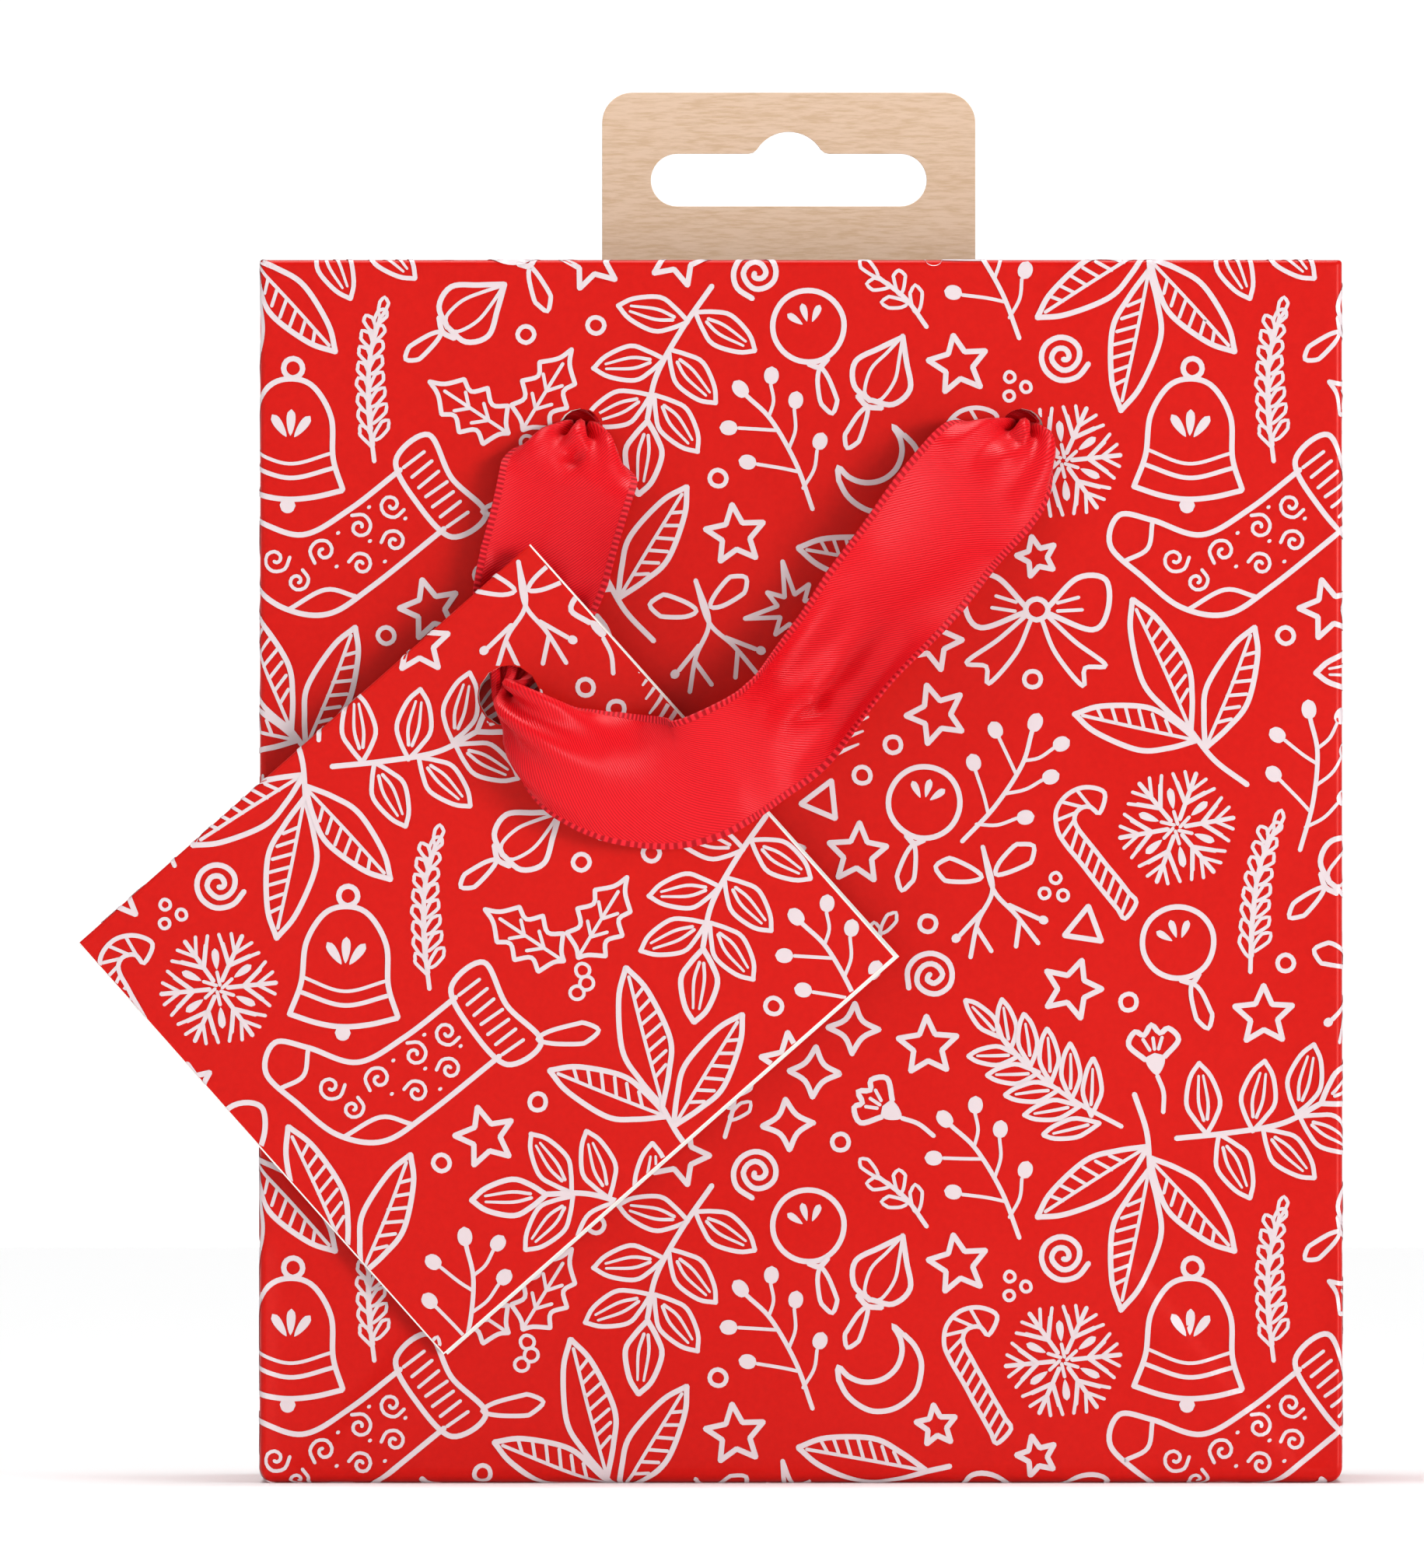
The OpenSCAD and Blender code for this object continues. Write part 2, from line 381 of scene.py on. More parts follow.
    def fold(self, s: np.ndarray) -> np.ndarray:
        """Radius of the fold over the mouth.

        Args:
            s: Flat coordinates round the bag.

        Returns:
            The radius at each place, larger where a stiffener lies inside.
        """
        wall, a = self.walls(s)
        length = np.array(self.LENGTHS)[wall]
        inside = smoothstep(np.minimum(a, length - a) / 1.5)
        mean = (self.FOLD_WALL + self.FOLD_GUSSET) / 2
        own = np.where(wall % 2 == 0, self.FOLD_WALL, self.FOLD_GUSSET)
        return mean + (own - mean) * inside

    def at(self, s: np.ndarray, t: np.ndarray) -> np.ndarray:
        """Points of the bag's face; see Surface.at.

        Args:
            s: Flat coordinates round the bag.
            t: Flat coordinates up.

        Returns:
            One point a row.
        """
        s, t = np.asarray(s, float), np.asarray(t, float)
        radius = self.fold(s)
        bottom = np.clip((self.BOTTOM - t) / self.BOTTOM, 0, math.pi / 2)
        start = BAG_HEIGHT - radius
        top = np.clip((t - start) / radius, 0, math.pi)
        below = np.maximum(t - start - math.pi * radius, 0.0)
        z = np.clip(t, self.BOTTOM, start) - self.BOTTOM * np.sin(bottom) + radius * np.sin(top) - below
        inset = self.BOTTOM * (1 - np.cos(bottom)) + radius * (1 - np.cos(top))
        place, direction = self.ring(s, inset)
        place = place + direction * self.relief(s, z)[..., None]
        return np.concatenate([place, z[..., None]], axis=-1)

    def tight(self, s: np.ndarray, t: np.ndarray) -> np.ndarray:
        """Folds of the bag; see Surface.tight.

        Args:
            s: Flat coordinates round the bag.
            t: Flat coordinates up.

        Returns:
            True at each tight place.
        """
        wall, a = self.walls(s)
        edge = np.minimum(a, np.array(self.LENGTHS)[wall] - a)
        fold = np.abs(np.asarray(t) - BAG_HEIGHT - 0.3) < 2.0
        return fold | (np.asarray(t) < 2.4) | (edge < 1.4)


class TagSurface(Surface):
    """Outer face of the folded tag, from its front leaf over the fold to its rear leaf.

    s runs along the fold; t runs up the front leaf from the hole's centre.
    """

    FOLD = 0.42
    T_REAR = TAG_TOP - FOLD + math.pi * FOLD
    T_HIGH = T_REAR + TAG_TOP - FOLD - TAG_BOTTOM

    def __init__(self) -> None:
        self.frame = (
            Matrix.Translation(Vector(TAG_HOLE))
            @ Matrix.Rotation(math.pi / 2 + TAG_LEAN, 4, "X")
            @ Matrix.Rotation(TAG_TURN, 4, "Z")
        )

    def at(self, s: np.ndarray, t: np.ndarray) -> np.ndarray:
        """Points of the tag's face; see Surface.at.

        Args:
            s: Flat coordinates along the fold.
            t: Flat coordinates up the front leaf.

        Returns:
            One point a row.
        """
        s, t = np.asarray(s, float), np.asarray(t, float)
        start = TAG_TOP - self.FOLD
        turn = np.clip((t - start) / self.FOLD, 0, math.pi)
        below = np.maximum(t - self.T_REAR, 0.0)
        y = np.minimum(t, start) + self.FOLD * np.sin(turn) - below
        rear = smoothstep(turn / math.pi)
        drop = np.maximum(start - y, 0.0) / (start - TAG_BOTTOM)
        curl = 0.9 * drop**2 * ((s - TAG_LEFT) / (TAG_RIGHT - TAG_LEFT) - 0.35)
        bow = 0.35 * np.sin((s - TAG_LEFT) / (TAG_RIGHT - TAG_LEFT) * math.pi) * drop
        z = self.FOLD * np.cos(turn) + curl + bow * (1 - rear) - rear * 0.45 * drop
        y = y - rear * 0.35 * drop
        x = s + rear * 0.3 * drop
        flat = np.stack([x, y, z], axis=-1)
        matrix = np.array(self.frame)
        return flat @ matrix[:3, :3].T + matrix[:3, 3]

    def tight(self, s: np.ndarray, t: np.ndarray) -> np.ndarray:
        """The tag's fold; see Surface.tight.

        Args:
            s: Flat coordinates along the fold.
            t: Flat coordinates up the front leaf.

        Returns:
            True at each tight place.
        """
        return np.abs(np.asarray(t) - TAG_TOP) < 1.6


def open_holes(
    grids: tuple[np.ndarray, np.ndarray],
    cells: tuple[np.ndarray, np.ndarray],
    holes: Sequence[Pair],
    radius: float,
    reach: float,
) -> tuple[np.ndarray, np.ndarray, np.ndarray]:
    """Leaves round holes out of a sheet and bends its grid lines round them.

    Args:
        grids: The s and t of the grid's points.
        cells: The s and t of the middles of its cells.
        holes: Middles of the holes.
        radius: Radius of the holes.
        reach: Distance from a middle within which lines are bent.

    Returns:
        The bent s and t, and which cells stay.
    """
    (grid_s, grid_t), (cell_s, cell_t) = grids, cells
    keep = np.ones(cell_s.shape, bool)
    for x, y in holes:
        keep &= np.maximum(np.abs(cell_s - x), np.abs(cell_t - y)) > radius
        dx, dy = grid_s - x, grid_t - y
        square = np.maximum(np.abs(dx), np.abs(dy))
        share = np.clip((reach - square) / (reach - radius), 0, 1)
        away = np.maximum(np.hypot(dx, dy), 1e-9)
        scale = np.where(square < reach, share * square / away + 1 - share, 1.0)
        grid_s, grid_t = x + dx * scale, y + dy * scale
    return grid_s, grid_t, keep


# ---- Line drawings ----


@dataclass(frozen=True)
class Stroke:
    """One pen line, in flat coordinates."""

    points: np.ndarray
    widths: np.ndarray
    solid: bool = False

    def moved(self, turn: float, shift: Pair) -> "Stroke":
        """The stroke turned about the origin and then shifted.

        Args:
            turn: Angle in radians.
            shift: Distance right and up.

        Returns:
            The moved stroke.
        """
        c, s = math.cos(turn), math.sin(turn)
        spin = np.array([[c, s], [-s, c]])
        return Stroke(self.points @ spin + np.array(shift), self.widths, self.solid)


def curve_rows(p: np.ndarray, step: float) -> np.ndarray:
    """Rows of a smooth curve through the rows of a table.

    Args:
        p: The table, with one more row at each end; its first columns are a place.
        step: Distance between the new rows.

    Returns:
        The new rows, which end on the table's last row but one.
    """
    rows = []
    for a, b, c, d in zip(p, p[1:], p[2:], p[3:]):
        count = max(2, math.ceil(float(np.linalg.norm(c[:3] - b[:3])) / step))
        u = (np.arange(count) / count)[:, None]
        bend = (2 * a - 5 * b + 4 * c - d) * u**2
        rows.append(0.5 * (2 * b + (c - a) * u + bend + (3 * b - a - 3 * c + d) * u**3))
    rows.append(p[-2][None])
    return np.vstack(rows)


def smooth_line(points: Sequence[Pair], closed: bool, step: float = 0.55) -> np.ndarray:
    """A smooth curve through points.

    Args:
        points: Points it passes through.
        closed: Whether it returns to its start.
        step: Distance between samples.

    Returns:
        Samples along the curve.
    """
    p = np.array(points, float)
    if closed:
        p = np.vstack([p[-1], p, p[0], p[1]])
    else:
        p = np.vstack([2 * p[0] - p[1], p, 2 * p[-1] - p[-2]])
    return curve_rows(p, step)


class Pen:
    """Draws strokes with the slight unevenness of a hand."""

    def __init__(self, rng: random.Random) -> None:
        self.rng = rng
        self.strokes: list[Stroke] = []

    def line(
        self,
        points: Sequence[Pair],
        weight: Weight = Weight.BOLD,
        closed: bool = False,
        fade: float = 0.0,
        wobble: float = 0.07,
    ) -> None:
        """Draws a smooth line.

        Args:
            points: Points it passes through.
            weight: Pen width.
            closed: Whether it returns to its start.
            fade: Share of the width lost at the far end.
            wobble: Largest shift of a point.
        """
        r = self.rng
        shaken = [(x + r.uniform(-wobble, wobble), y + r.uniform(-wobble, wobble)) for x, y in points]
        samples = smooth_line(shaken, closed)
        widths = weight.value * (1 - fade * np.linspace(0, 1, len(samples)) ** 2)
        if not closed:
            first = samples[0] - samples[1]
            last = samples[-1] - samples[-2]
            first *= 0.38 * widths[0] / max(float(np.linalg.norm(first)), 1e-9)
            last *= 0.38 * widths[-1] / max(float(np.linalg.norm(last)), 1e-9)
            samples = np.vstack([samples[0] + first, samples, samples[-1] + last])
            widths = np.concatenate([[widths[0] * 0.45], widths, [widths[-1] * 0.45]])
        self.strokes.append(Stroke(samples, widths, closed))

    def edges(self, points: Sequence[Pair], weight: Weight = Weight.BOLD) -> None:
        """Draws a closed outline with crisp corners, one stroke a side.

        Args:
            points: The corners.
            weight: Pen width.
        """
        r = self.rng
        shaken = [(x + r.uniform(-0.08, 0.08), y + r.uniform(-0.08, 0.08)) for x, y in points]
        for a, b in zip(shaken, shaken[1:] + shaken[:1]):
            self.line([a, b], weight, wobble=0.0)

    def oval(
        self, centre: Pair, wide: float, tall: float, weight: Weight = Weight.BOLD, turn: float = 0.0
    ) -> None:
        """Draws an oval outline.

        Args:
            centre: Its centre.
            wide: Half its width.
            tall: Half its height.
            weight: Pen width.
            turn: Angle of its width, in radians.
        """
        c, s = math.cos(turn), math.sin(turn)
        count = 8 if max(wide, tall) < 2 else 12
        ring = []
        for k in range(count):
            a = 2 * math.pi * k / count
            x, y = wide * math.cos(a), tall * math.sin(a)
            ring.append((centre[0] + c * x - s * y, centre[1] + s * x + c * y))
        self.line(ring, weight, closed=True, wobble=0.04)

    def blob(self, start: Pair, end: Pair, width: float, drop: float = 0.0) -> None:
        """Fills an oval or a drop.

        Args:
            start: Its pointed or first end.
            end: Its other end.
            width: Largest width.
            drop: 0 for an oval; towards 1 the widest place moves to the far end.
        """
        u = np.linspace(0, 1, 9)
        samples = np.outer(1 - u, start) + np.outer(u, end)
        shape = np.sqrt(np.clip(4 * u * (1 - u), 0, 1)) * (1 - drop + drop * 1.25 * u)
        self.strokes.append(Stroke(samples, np.maximum(width * shape, 0.08), True))

    def leaf(
        self,
        base: Pair,
        turn: float,
        length: float,
        width: float,
        weight: Weight = Weight.BOLD,
        veins: int = 0,
        ribs: int = 0,
        round_tip: bool = False,
    ) -> None:
        """Draws a leaf outline with optional lines inside.

        Args:
            base: Where it leaves its stem.
            turn: The way it points, in radians.
            length: Base to tip.
            width: Largest width.
            weight: Pen width of the outline.
            veins: Number of long curved lines inside.
            ribs: Number of short slanted ribs on one half, beside a midrib.
            round_tip: Whether the tip is round, as on a drop.
        """
        c, s = math.cos(turn), math.sin(turn)

        def place(x: float, y: float) -> Pair:
            return base[0] + c * x - s * y, base[1] + s * x + c * y

        peak = 0.66 if round_tip else 0.45
        late = 0.86 if round_tip else 0.62
        half = width / 2

        def side(sign: float, share: float = 1.0) -> list[Pair]:
            spots = [(0.0, 0.0), (0.22, 0.62), (peak, 1.0), (0.8, late), (1.0, 0.0)]
            return [place(length * x, sign * share * half * y) for x, y in spots]

        if round_tip:
            self.line(side(1) + side(-1)[-2:0:-1], weight, closed=True)
        else:
            self.line(side(1), weight, wobble=0.05)
            self.line(side(-1), weight, wobble=0.05)
            body = smooth_line(side(0.45) + side(-0.45)[-2:0:-1], True, 1.2)
            self.strokes.append(Stroke(body, np.zeros(len(body)), True))
        for k in range(veins):
            share = (k + 0.5) / veins * 1.3 - 0.65
            self.line([place(length * 0.2, 0.3 * share * half)] + [
                place(length * x, share * half * y) for x, y in ((0.45, 0.9), (0.82, 0.45))
            ], Weight.FINE, fade=0.3)
        if ribs:
            self.line([place(length * x, 0.0) for x in (0.05, 0.5, 0.93)], Weight.FINE)
        for k in range(ribs):
            x = 0.16 + 0.66 * (k + 0.5) / ribs
            reach = half * (1 - abs(2 * x - 0.95) ** 2) * 0.82
            self.line([place(length * x, 0.0), place(length * (x + 0.07), -reach)], Weight.FINE, wobble=0.03)


def polar(radius: float, turn: float, centre: Pair = (0.0, 0.0)) -> Pair:
    """A point at a distance and direction from a centre.

    Args:
        radius: Distance.
        turn: Direction in radians.
        centre: Where it is measured from.

    Returns:
        The point.
    """
    return centre[0] + radius * math.cos(turn), centre[1] + radius * math.sin(turn)


def draw_star(pen: Pen, radius: float = 3.5) -> None:
    """Draws an open five-pointed star.

    Args:
        pen: The pen.
        radius: Centre to tip.
    """
    pen.edges([polar(radius * (1 if k % 2 == 0 else 0.47), math.pi * (0.5 + k / 5)) for k in range(10)])
    pen.strokes.append(Stroke(np.zeros((1, 2)), np.array([0.0]), True))


def draw_small_star(pen: Pen) -> None:
    """Draws a small star.

    Args:
        pen: The pen.
    """
    draw_star(pen, 2.4)


def draw_ring(pen: Pen) -> None:
    """Draws a small ring.

    Args:
        pen: The pen.
    """
    pen.oval((0, 0), 0.95, 0.95, Weight.MEDIUM)


def draw_sparkle(pen: Pen, radius: float = 2.9, waist: float = 0.5) -> None:
    """Draws an open four-pointed sparkle with hollow sides.

    Args:
        pen: The pen.
        radius: Centre to tip.
        waist: Distance of a side's middle from the centre, as a share of the radius.
    """
    for k in range(4):
        a = math.pi / 2 * k
        pen.line([polar(radius, a), polar(radius * waist, a + math.pi / 4), polar(radius, a + math.pi / 2)])


def draw_cushion(pen: Pen) -> None:
    """Draws a small square with hollow sides.

    Args:
        pen: The pen.
    """
    draw_sparkle(pen, 2.6, 0.6)


def draw_triangle(pen: Pen) -> None:
    """Draws a small triangle.

    Args:
        pen: The pen.
    """
    pen.edges([polar(2.5, math.pi * (0.5 + 2 * k / 3)) for k in range(3)])


def draw_spiral(pen: Pen, radius: float = 3.0) -> None:
    """Draws a spiral.

    Args:
        pen: The pen.
        radius: Its outer radius.
    """
    turns = 2.2
    count = 20
    spots = []
    for k in range(count + 1):
        spots.append(polar(radius * (0.12 + 0.88 * k / count), turns * 2 * math.pi * k / count))
    pen.line(spots)


def draw_cane(pen: Pen) -> None:
    """Draws a striped walking-stick sweet.

    Args:
        pen: The pen.
    """
    middle = [(0.0, -8.0 + 2 * k) for k in range(6)]
    middle += [polar(2.6, math.pi * (1 - 0.2 * k), (2.6, 3.6)) for k in range(6)]
    route = smooth_line(middle, False, 0.9)
    ahead = np.gradient(route, axis=0)
    ahead /= np.linalg.norm(ahead, axis=1, keepdims=True)
    across = np.stack([-ahead[:, 1], ahead[:, 0]], axis=1) * 1.1
    left, right = route + across, route - across
    ring = [tuple(p) for p in left[::2]] + [tuple(p) for p in right[::-2]]
    pen.line(ring, Weight.MEDIUM, closed=True, wobble=0.03)
    for k in range(2, len(route) - 2, 2):
        pen.line([tuple(left[k - 1]), tuple(right[k + 1])], Weight.FINE, wobble=0.02)


def draw_sprig(pen: Pen) -> None:
    """Draws a small stem with open drop-shaped leaves.

    Args:
        pen: The pen.
    """
    pen.line([(0, -5), (0.4, -1), (-0.2, 3)], Weight.MEDIUM)
    pen.leaf((-0.2, 3), math.radians(92), 2.9, 1.2, Weight.FINE, round_tip=True)
    for k, (y, sign) in enumerate(((-3, 1), (-1.6, -1), (-0.2, 1), (1.3, -1))):
        turn = math.radians(90 - sign * 42)
        pen.leaf((0.2, y), turn, 3.2 - 0.15 * k, 1.3, Weight.FINE, round_tip=True)


def draw_fern(pen: Pen) -> None:
    """Draws a long curved stem with many small open leaves.

    Args:
        pen: The pen.
    """
    pen.line([(1.2, -9), (0.2, -3), (0, 3), (0.8, 7.5)], Weight.MEDIUM)
    for k in range(8):
        y = -7 + 1.9 * k
        x = 0.012 * (y - 2) ** 2
        for sign in (-1, 1):
            turn = math.radians(90 - sign * 33)
            pen.leaf((x, y + 0.4 * sign), turn, 2.9 - 0.12 * k, 1.1, Weight.FINE, round_tip=True)
    pen.leaf((0.8, 7.5), math.radians(80), 2.4, 1.0, Weight.FINE, round_tip=True)


def draw_branch(pen: Pen) -> None:
    """Draws a branch with pointed leaves that have curved veins.

    Args:
        pen: The pen.
    """
    stem = [(-2, -11), (-0.6, -5), (0.2, 1), (-0.6, 6)]
    pen.line(stem, Weight.BOLD)
    pen.leaf((-0.6, 6), math.radians(104), 8.6, 4.2, veins=2)
    leaves = [
        (-0.9, -6.2, 8), (-1.3, -7.5, 168), (0.1, -1.2, 28),
        (0.0, -2.4, 152), (0.1, 3.2, 44), (-0.3, 3.0, 148),
    ]
    for x, y, turn in leaves:
        pen.leaf((x, y), math.radians(turn), 8.2, 3.9, Weight.MEDIUM, veins=2)


def draw_spray(pen: Pen) -> None:
    """Draws three broad ribbed leaves on one stem.

    Args:
        pen: The pen.
    """
    pen.line([(-9, -6.5), (-6, -3), (-2.5, -0.5)], Weight.BOLD)
    pen.leaf((-2.5, -0.5), math.radians(20), 16.5, 5.6, ribs=7)
    pen.leaf((-3.6, -1.2), math.radians(74), 14.5, 5.0, ribs=6)
    pen.leaf((-4.6, -2.0), math.radians(-26), 15.0, 5.0, ribs=6)


def draw_broad_leaf(pen: Pen) -> None:
    """Draws one broad ribbed leaf.

    Args:
        pen: The pen.
    """
    pen.line([(-9.5, -1.4), (-7, -0.3)], Weight.BOLD)
    pen.leaf((-7, -0.3), 0.03, 15, 5.2, ribs=7)


def draw_berries(pen: Pen) -> None:
    """Draws a curved stem with filled berries on thin stalks.

    Args:
        pen: The pen.
    """
    pen.line([(-3.4, -8), (-1, -3), (0.6, 2.5), (0.5, 6.5)], Weight.MEDIUM)
    pen.blob((0.5, 6.4), (0.7, 8.7), 1.7)
    for (x, y), (u, v) in (
        ((-2.4, -5.6), (1.8, -3.6)), ((-1.5, -3.9), (-4.2, 0.2)), ((-0.3, -1.2), (3.3, 1.5)),
        ((0.3, 1.2), (-2.8, 4.6)), ((0.6, 2.9), (3.4, 5.4)),
    ):
        length = math.hypot(u - x, v - y)
        pen.line([(x, y), ((x + u) / 2 + 0.25, (y + v) / 2 - 0.3), (u, v)], Weight.FINE)
        pen.blob((u, v), (u + 2.1 * (u - x) / length, v + 2.1 * (v - y) / length), 1.7)


def draw_snowflake(pen: Pen) -> None:
    """Draws a snowflake with six fan-shaped arms.

    Args:
        pen: The pen.
    """
    for k in range(6):
        a = math.pi / 3 * k
        pen.line([polar(1.0, a), polar(6.6, a)], Weight.MEDIUM, wobble=0.03)
        pen.blob(polar(2.2, a + math.pi / 6), polar(4.6, a + math.pi / 6), 1.0, 0.5)
        pen.line([polar(0.4, a), polar(1.9, a + math.pi / 6)], Weight.FINE, wobble=0.0)
        for sign in (-1, 1):
            pen.line([polar(2.9, a), polar(5.2, a + sign * 0.34)], Weight.MEDIUM, wobble=0.03)
            pen.line([polar(4.4, a), polar(6.5, a + sign * 0.2)], Weight.FINE, wobble=0.03)
            pen.line([polar(3.9, a + sign * 0.2), polar(6.2, a + sign * 0.42)], Weight.FINE, wobble=0.03)


def draw_bauble(pen: Pen) -> None:
    """Draws a round tree bauble on its loop.

    Args:
        pen: The pen.
    """
    pen.oval((0, -2.5), 4.1, 4.1)
    pen.line([(-1.1, 1.7), (0, 2.4), (1.1, 1.7)], Weight.BOLD)
    pen.leaf((0, 2.5), math.pi / 2, 5.4, 1.9, Weight.MEDIUM, round_tip=True)
    for turn in (-130, -90, -50):
        a = math.radians(turn)
        pen.blob(polar(0.9, a, (0, -2.2)), polar(3.0, a, (0, -2.2)), 0.95, 0.6)


def draw_onion(pen: Pen) -> None:
    """Draws a ribbed bauble that ends in a point.

    Args:
        pen: The pen.
    """
    for bulge in (-3.5, -1.5, 1.5, 3.5):
        weight = Weight.BOLD if abs(bulge) > 2 else Weight.FINE
        pen.line([(0, 1.2), (0.72 * bulge, 0.5), (bulge, -2), (0.5 * bulge, -4.6), (0, -7)], weight)
    pen.line([(-1.5, 1.4), (0, 2.0), (1.5, 1.4)], Weight.BOLD)
    pen.leaf((0, 2.1), math.pi / 2, 5.2, 1.8, Weight.MEDIUM, round_tip=True)


def draw_holly(pen: Pen) -> None:
    """Draws two holly leaves and three berries.

    Args:
        pen: The pen.
    """
    for turn in (30, 118):
        a = math.radians(turn)
        c, s = math.cos(a), math.sin(a)
        tips = [(1.2, 0.0), (3.0, 2.6), (6.0, 3.0), (8.8, 2.4), (12.0, 0.0)]
        for sign in (-1, 1):
            for (x, y), (u, v) in zip(tips, tips[1:]):
                bend = ((x + u) / 2, (y + v) / 2 * 0.62)
                spots = [(x, y), bend, (u, v)]
                turned = [(c * p - s * q * sign, s * p + c * q * sign) for p, q in spots]
                pen.line(turned, Weight.MEDIUM, wobble=0.03)
        pen.line([(c * p, s * p) for p in (1.4, 6, 10)], Weight.FINE)
        for x in (4.0, 6.5):
            for sign in (-1, 1):
                tip = (c * (x + 1.4) - s * 1.3 * sign, s * (x + 1.4) + c * 1.3 * sign)
                pen.line([(c * x, s * x), tip], Weight.FINE)
        body = np.array([(c * p, s * p) for p in (2, 4, 6, 8, 10)])
        pen.strokes.append(Stroke(body, np.zeros(5), True))
    for k in range(3):
        pen.oval(polar(1.5, math.radians(-105 + 62 * k), (-0.6, -1.4)), 0.8, 0.8, Weight.FINE)


def draw_twig(pen: Pen) -> None:
    """Draws a forked twig with two drop-shaped leaves.

    Args:
        pen: The pen.
    """
    for sign in (-1, 1):
        pen.line([(0, 6), (0.2, 1), (sign * 2.2, -2.4), (sign * 4.0, -6.2)], Weight.MEDIUM)
        pen.line([(sign * 1.6, -1.2), (sign * 4.6, -3.4)], Weight.MEDIUM)
        pen.line([(sign * 2.5, -3.0), (sign * 1.4, -6.0)], Weight.MEDIUM)
        pen.blob((sign * 4.6, -3.4), (sign * 5.6, -4.0), 1.0)
        pen.leaf((sign * 0.8, 2.6), math.radians(90 - sign * 66), 5.4, 2.5, Weight.MEDIUM, round_tip=True)


def draw_blossom(pen: Pen) -> None:
    """Draws a cup-shaped blossom on a short stem.

    Args:
        pen: The pen.
    """
    pen.blob((0, -2.4), (0, 0.2), 2.6, 0.6)
    half = [(-1.1, -0.4), (-2.9, 1.4), (-1.9, 2.9), (-0.9, 2.4)]
    pen.line(half + [(0, 3.5)] + [(-x, y) for x, y in half[::-1]])
    for x in (-0.9, 0.0, 0.9):
        pen.line([(0.5 * x, 0.6), (1.2 * x, 1.9)], Weight.FINE)
    pen.line([(0, -2.4), (0.5, -4.4), (0.2, -6.6)], Weight.MEDIUM)


def draw_bow(pen: Pen) -> None:
    """Draws a tied bow with two tails.

    Args:
        pen: The pen.
    """
    pen.oval((0, 0), 1.3, 1.2)
    for sign in (-1, 1):
        spots = [(1.3, 0.3), (4.6, 3.6), (7.8, 3.5), (8.2, 0.2), (6.4, -2.2), (1.3, -0.4)]
        pen.line([(sign * x, y) for x, y in spots])
        pen.line([(sign * 2.4, 0.7), (sign * 4.8, 1.5)], Weight.FINE)
        pen.line([(sign * 2.4, -0.2), (sign * 5.2, 0.1)], Weight.FINE)
        tail = [(0.6, -1.1), (2.2, -5.0), (5.4, -8.6), (5.7, -6.6), (8.0, -6.2), (4.4, -3.6), (1.2, -0.7)]
        pen.line([(sign * x, y) for x, y in tail], Weight.MEDIUM)


def draw_bell(pen: Pen) -> None:
    """Draws a bell with two bands, a clapper and three drops.

    Args:
        pen: The pen.
    """
    half = [(-6.2, -5.6), (-5.0, -2), (-4.6, 2.6), (-2.6, 6.0)]
    pen.line(half + [(0, 6.9)] + [(-x, y) for x, y in half[::-1]])
    pen.line([(-6.2, -5.6), (-3, -6.6), (0, -6.9), (3, -6.6), (6.2, -5.6)])
    pen.line([(-5.2, -3.0), (0, -4.4), (5.2, -3.0)], Weight.MEDIUM)
    pen.line([(-5.0, -1.4), (0, -2.8), (5.0, -1.4)], Weight.FINE)
    pen.oval((0, 8.1), 1.1, 1.1)
    pen.blob((-0.9, -7.6), (0.9, -7.6), 1.8)
    for turn in (55, 90, 125):
        a = math.radians(turn)
        pen.blob(polar(0.8, a, (0, -0.4)), polar(3.8, a, (0, -0.4)), 1.2, 0.5)


def draw_stocking(pen: Pen) -> None:
    """Draws a hanging stocking with a ribbed cuff and curled patterning.

    Args:
        pen: The pen.
    """
    pen.line(
        [(-4.2, 9.5), (-4.0, 2.0), (-4.8, -4.0), (-9.5, -7.6), (-12.2, -10.4), (-10.0, -13.2),
         (-5.0, -12.4), (0.5, -10.8), (4.2, -7.0), (4.6, -1.0), (4.2, 9.5)],
    )
    pen.line([(-5.4, 9.6), (0, 8.7), (5.4, 9.6), (5.7, 14.4), (0, 13.6), (-5.6, 14.4)], closed=True)
    for k in range(7):
        pen.line([(-4.2 + 1.4 * k, 9.9), (-4.3 + 1.42 * k, 12.9)], Weight.FINE)
    pen.leaf((5.2, 14.2), math.radians(62), 7.0, 2.4, Weight.MEDIUM, round_tip=True)
    pen.line([(-9.4, -7.7), (-7.2, -10.0), (-7.6, -12.9)], Weight.MEDIUM)
    pen.line([(4.5, -3.2), (1.8, -5.6), (1.2, -10.4)], Weight.MEDIUM)
    curls = [
        (-1.6, 6.2, 1.6), (2.0, 4.0, 1.5), (-1.7, 1.8, 1.6), (1.9, -0.6, 1.5),
        (-1.9, -3.2, 1.7), (-4.4, -8.2, 1.7), (-0.9, -7.6, 1.4),
    ]
    for x, y, size in curls:
        start = pen.rng.uniform(0, 6.28)
        curl = [polar(size * (0.15 + 0.85 * k / 9), start + 0.95 * k, (x, y)) for k in range(10)]
        pen.line(curl, Weight.FINE, wobble=0.02)
    for x, y in ((0.6, 6.6), (-2.9, 4.0), (0.3, 1.8), (3.2, 1.8), (-2.6, -0.6), (0.4, -3.0)):
        pen.blob((x - 0.2, y), (x + 0.2, y), 0.5)
    body = np.array([(x, y) for x in (-2.5, 0.0, 2.5) for y in (-8, -4, 0, 4, 8)] + [(-8.0, -10.5)])
    pen.strokes.append(Stroke(body, np.zeros(len(body)), True))


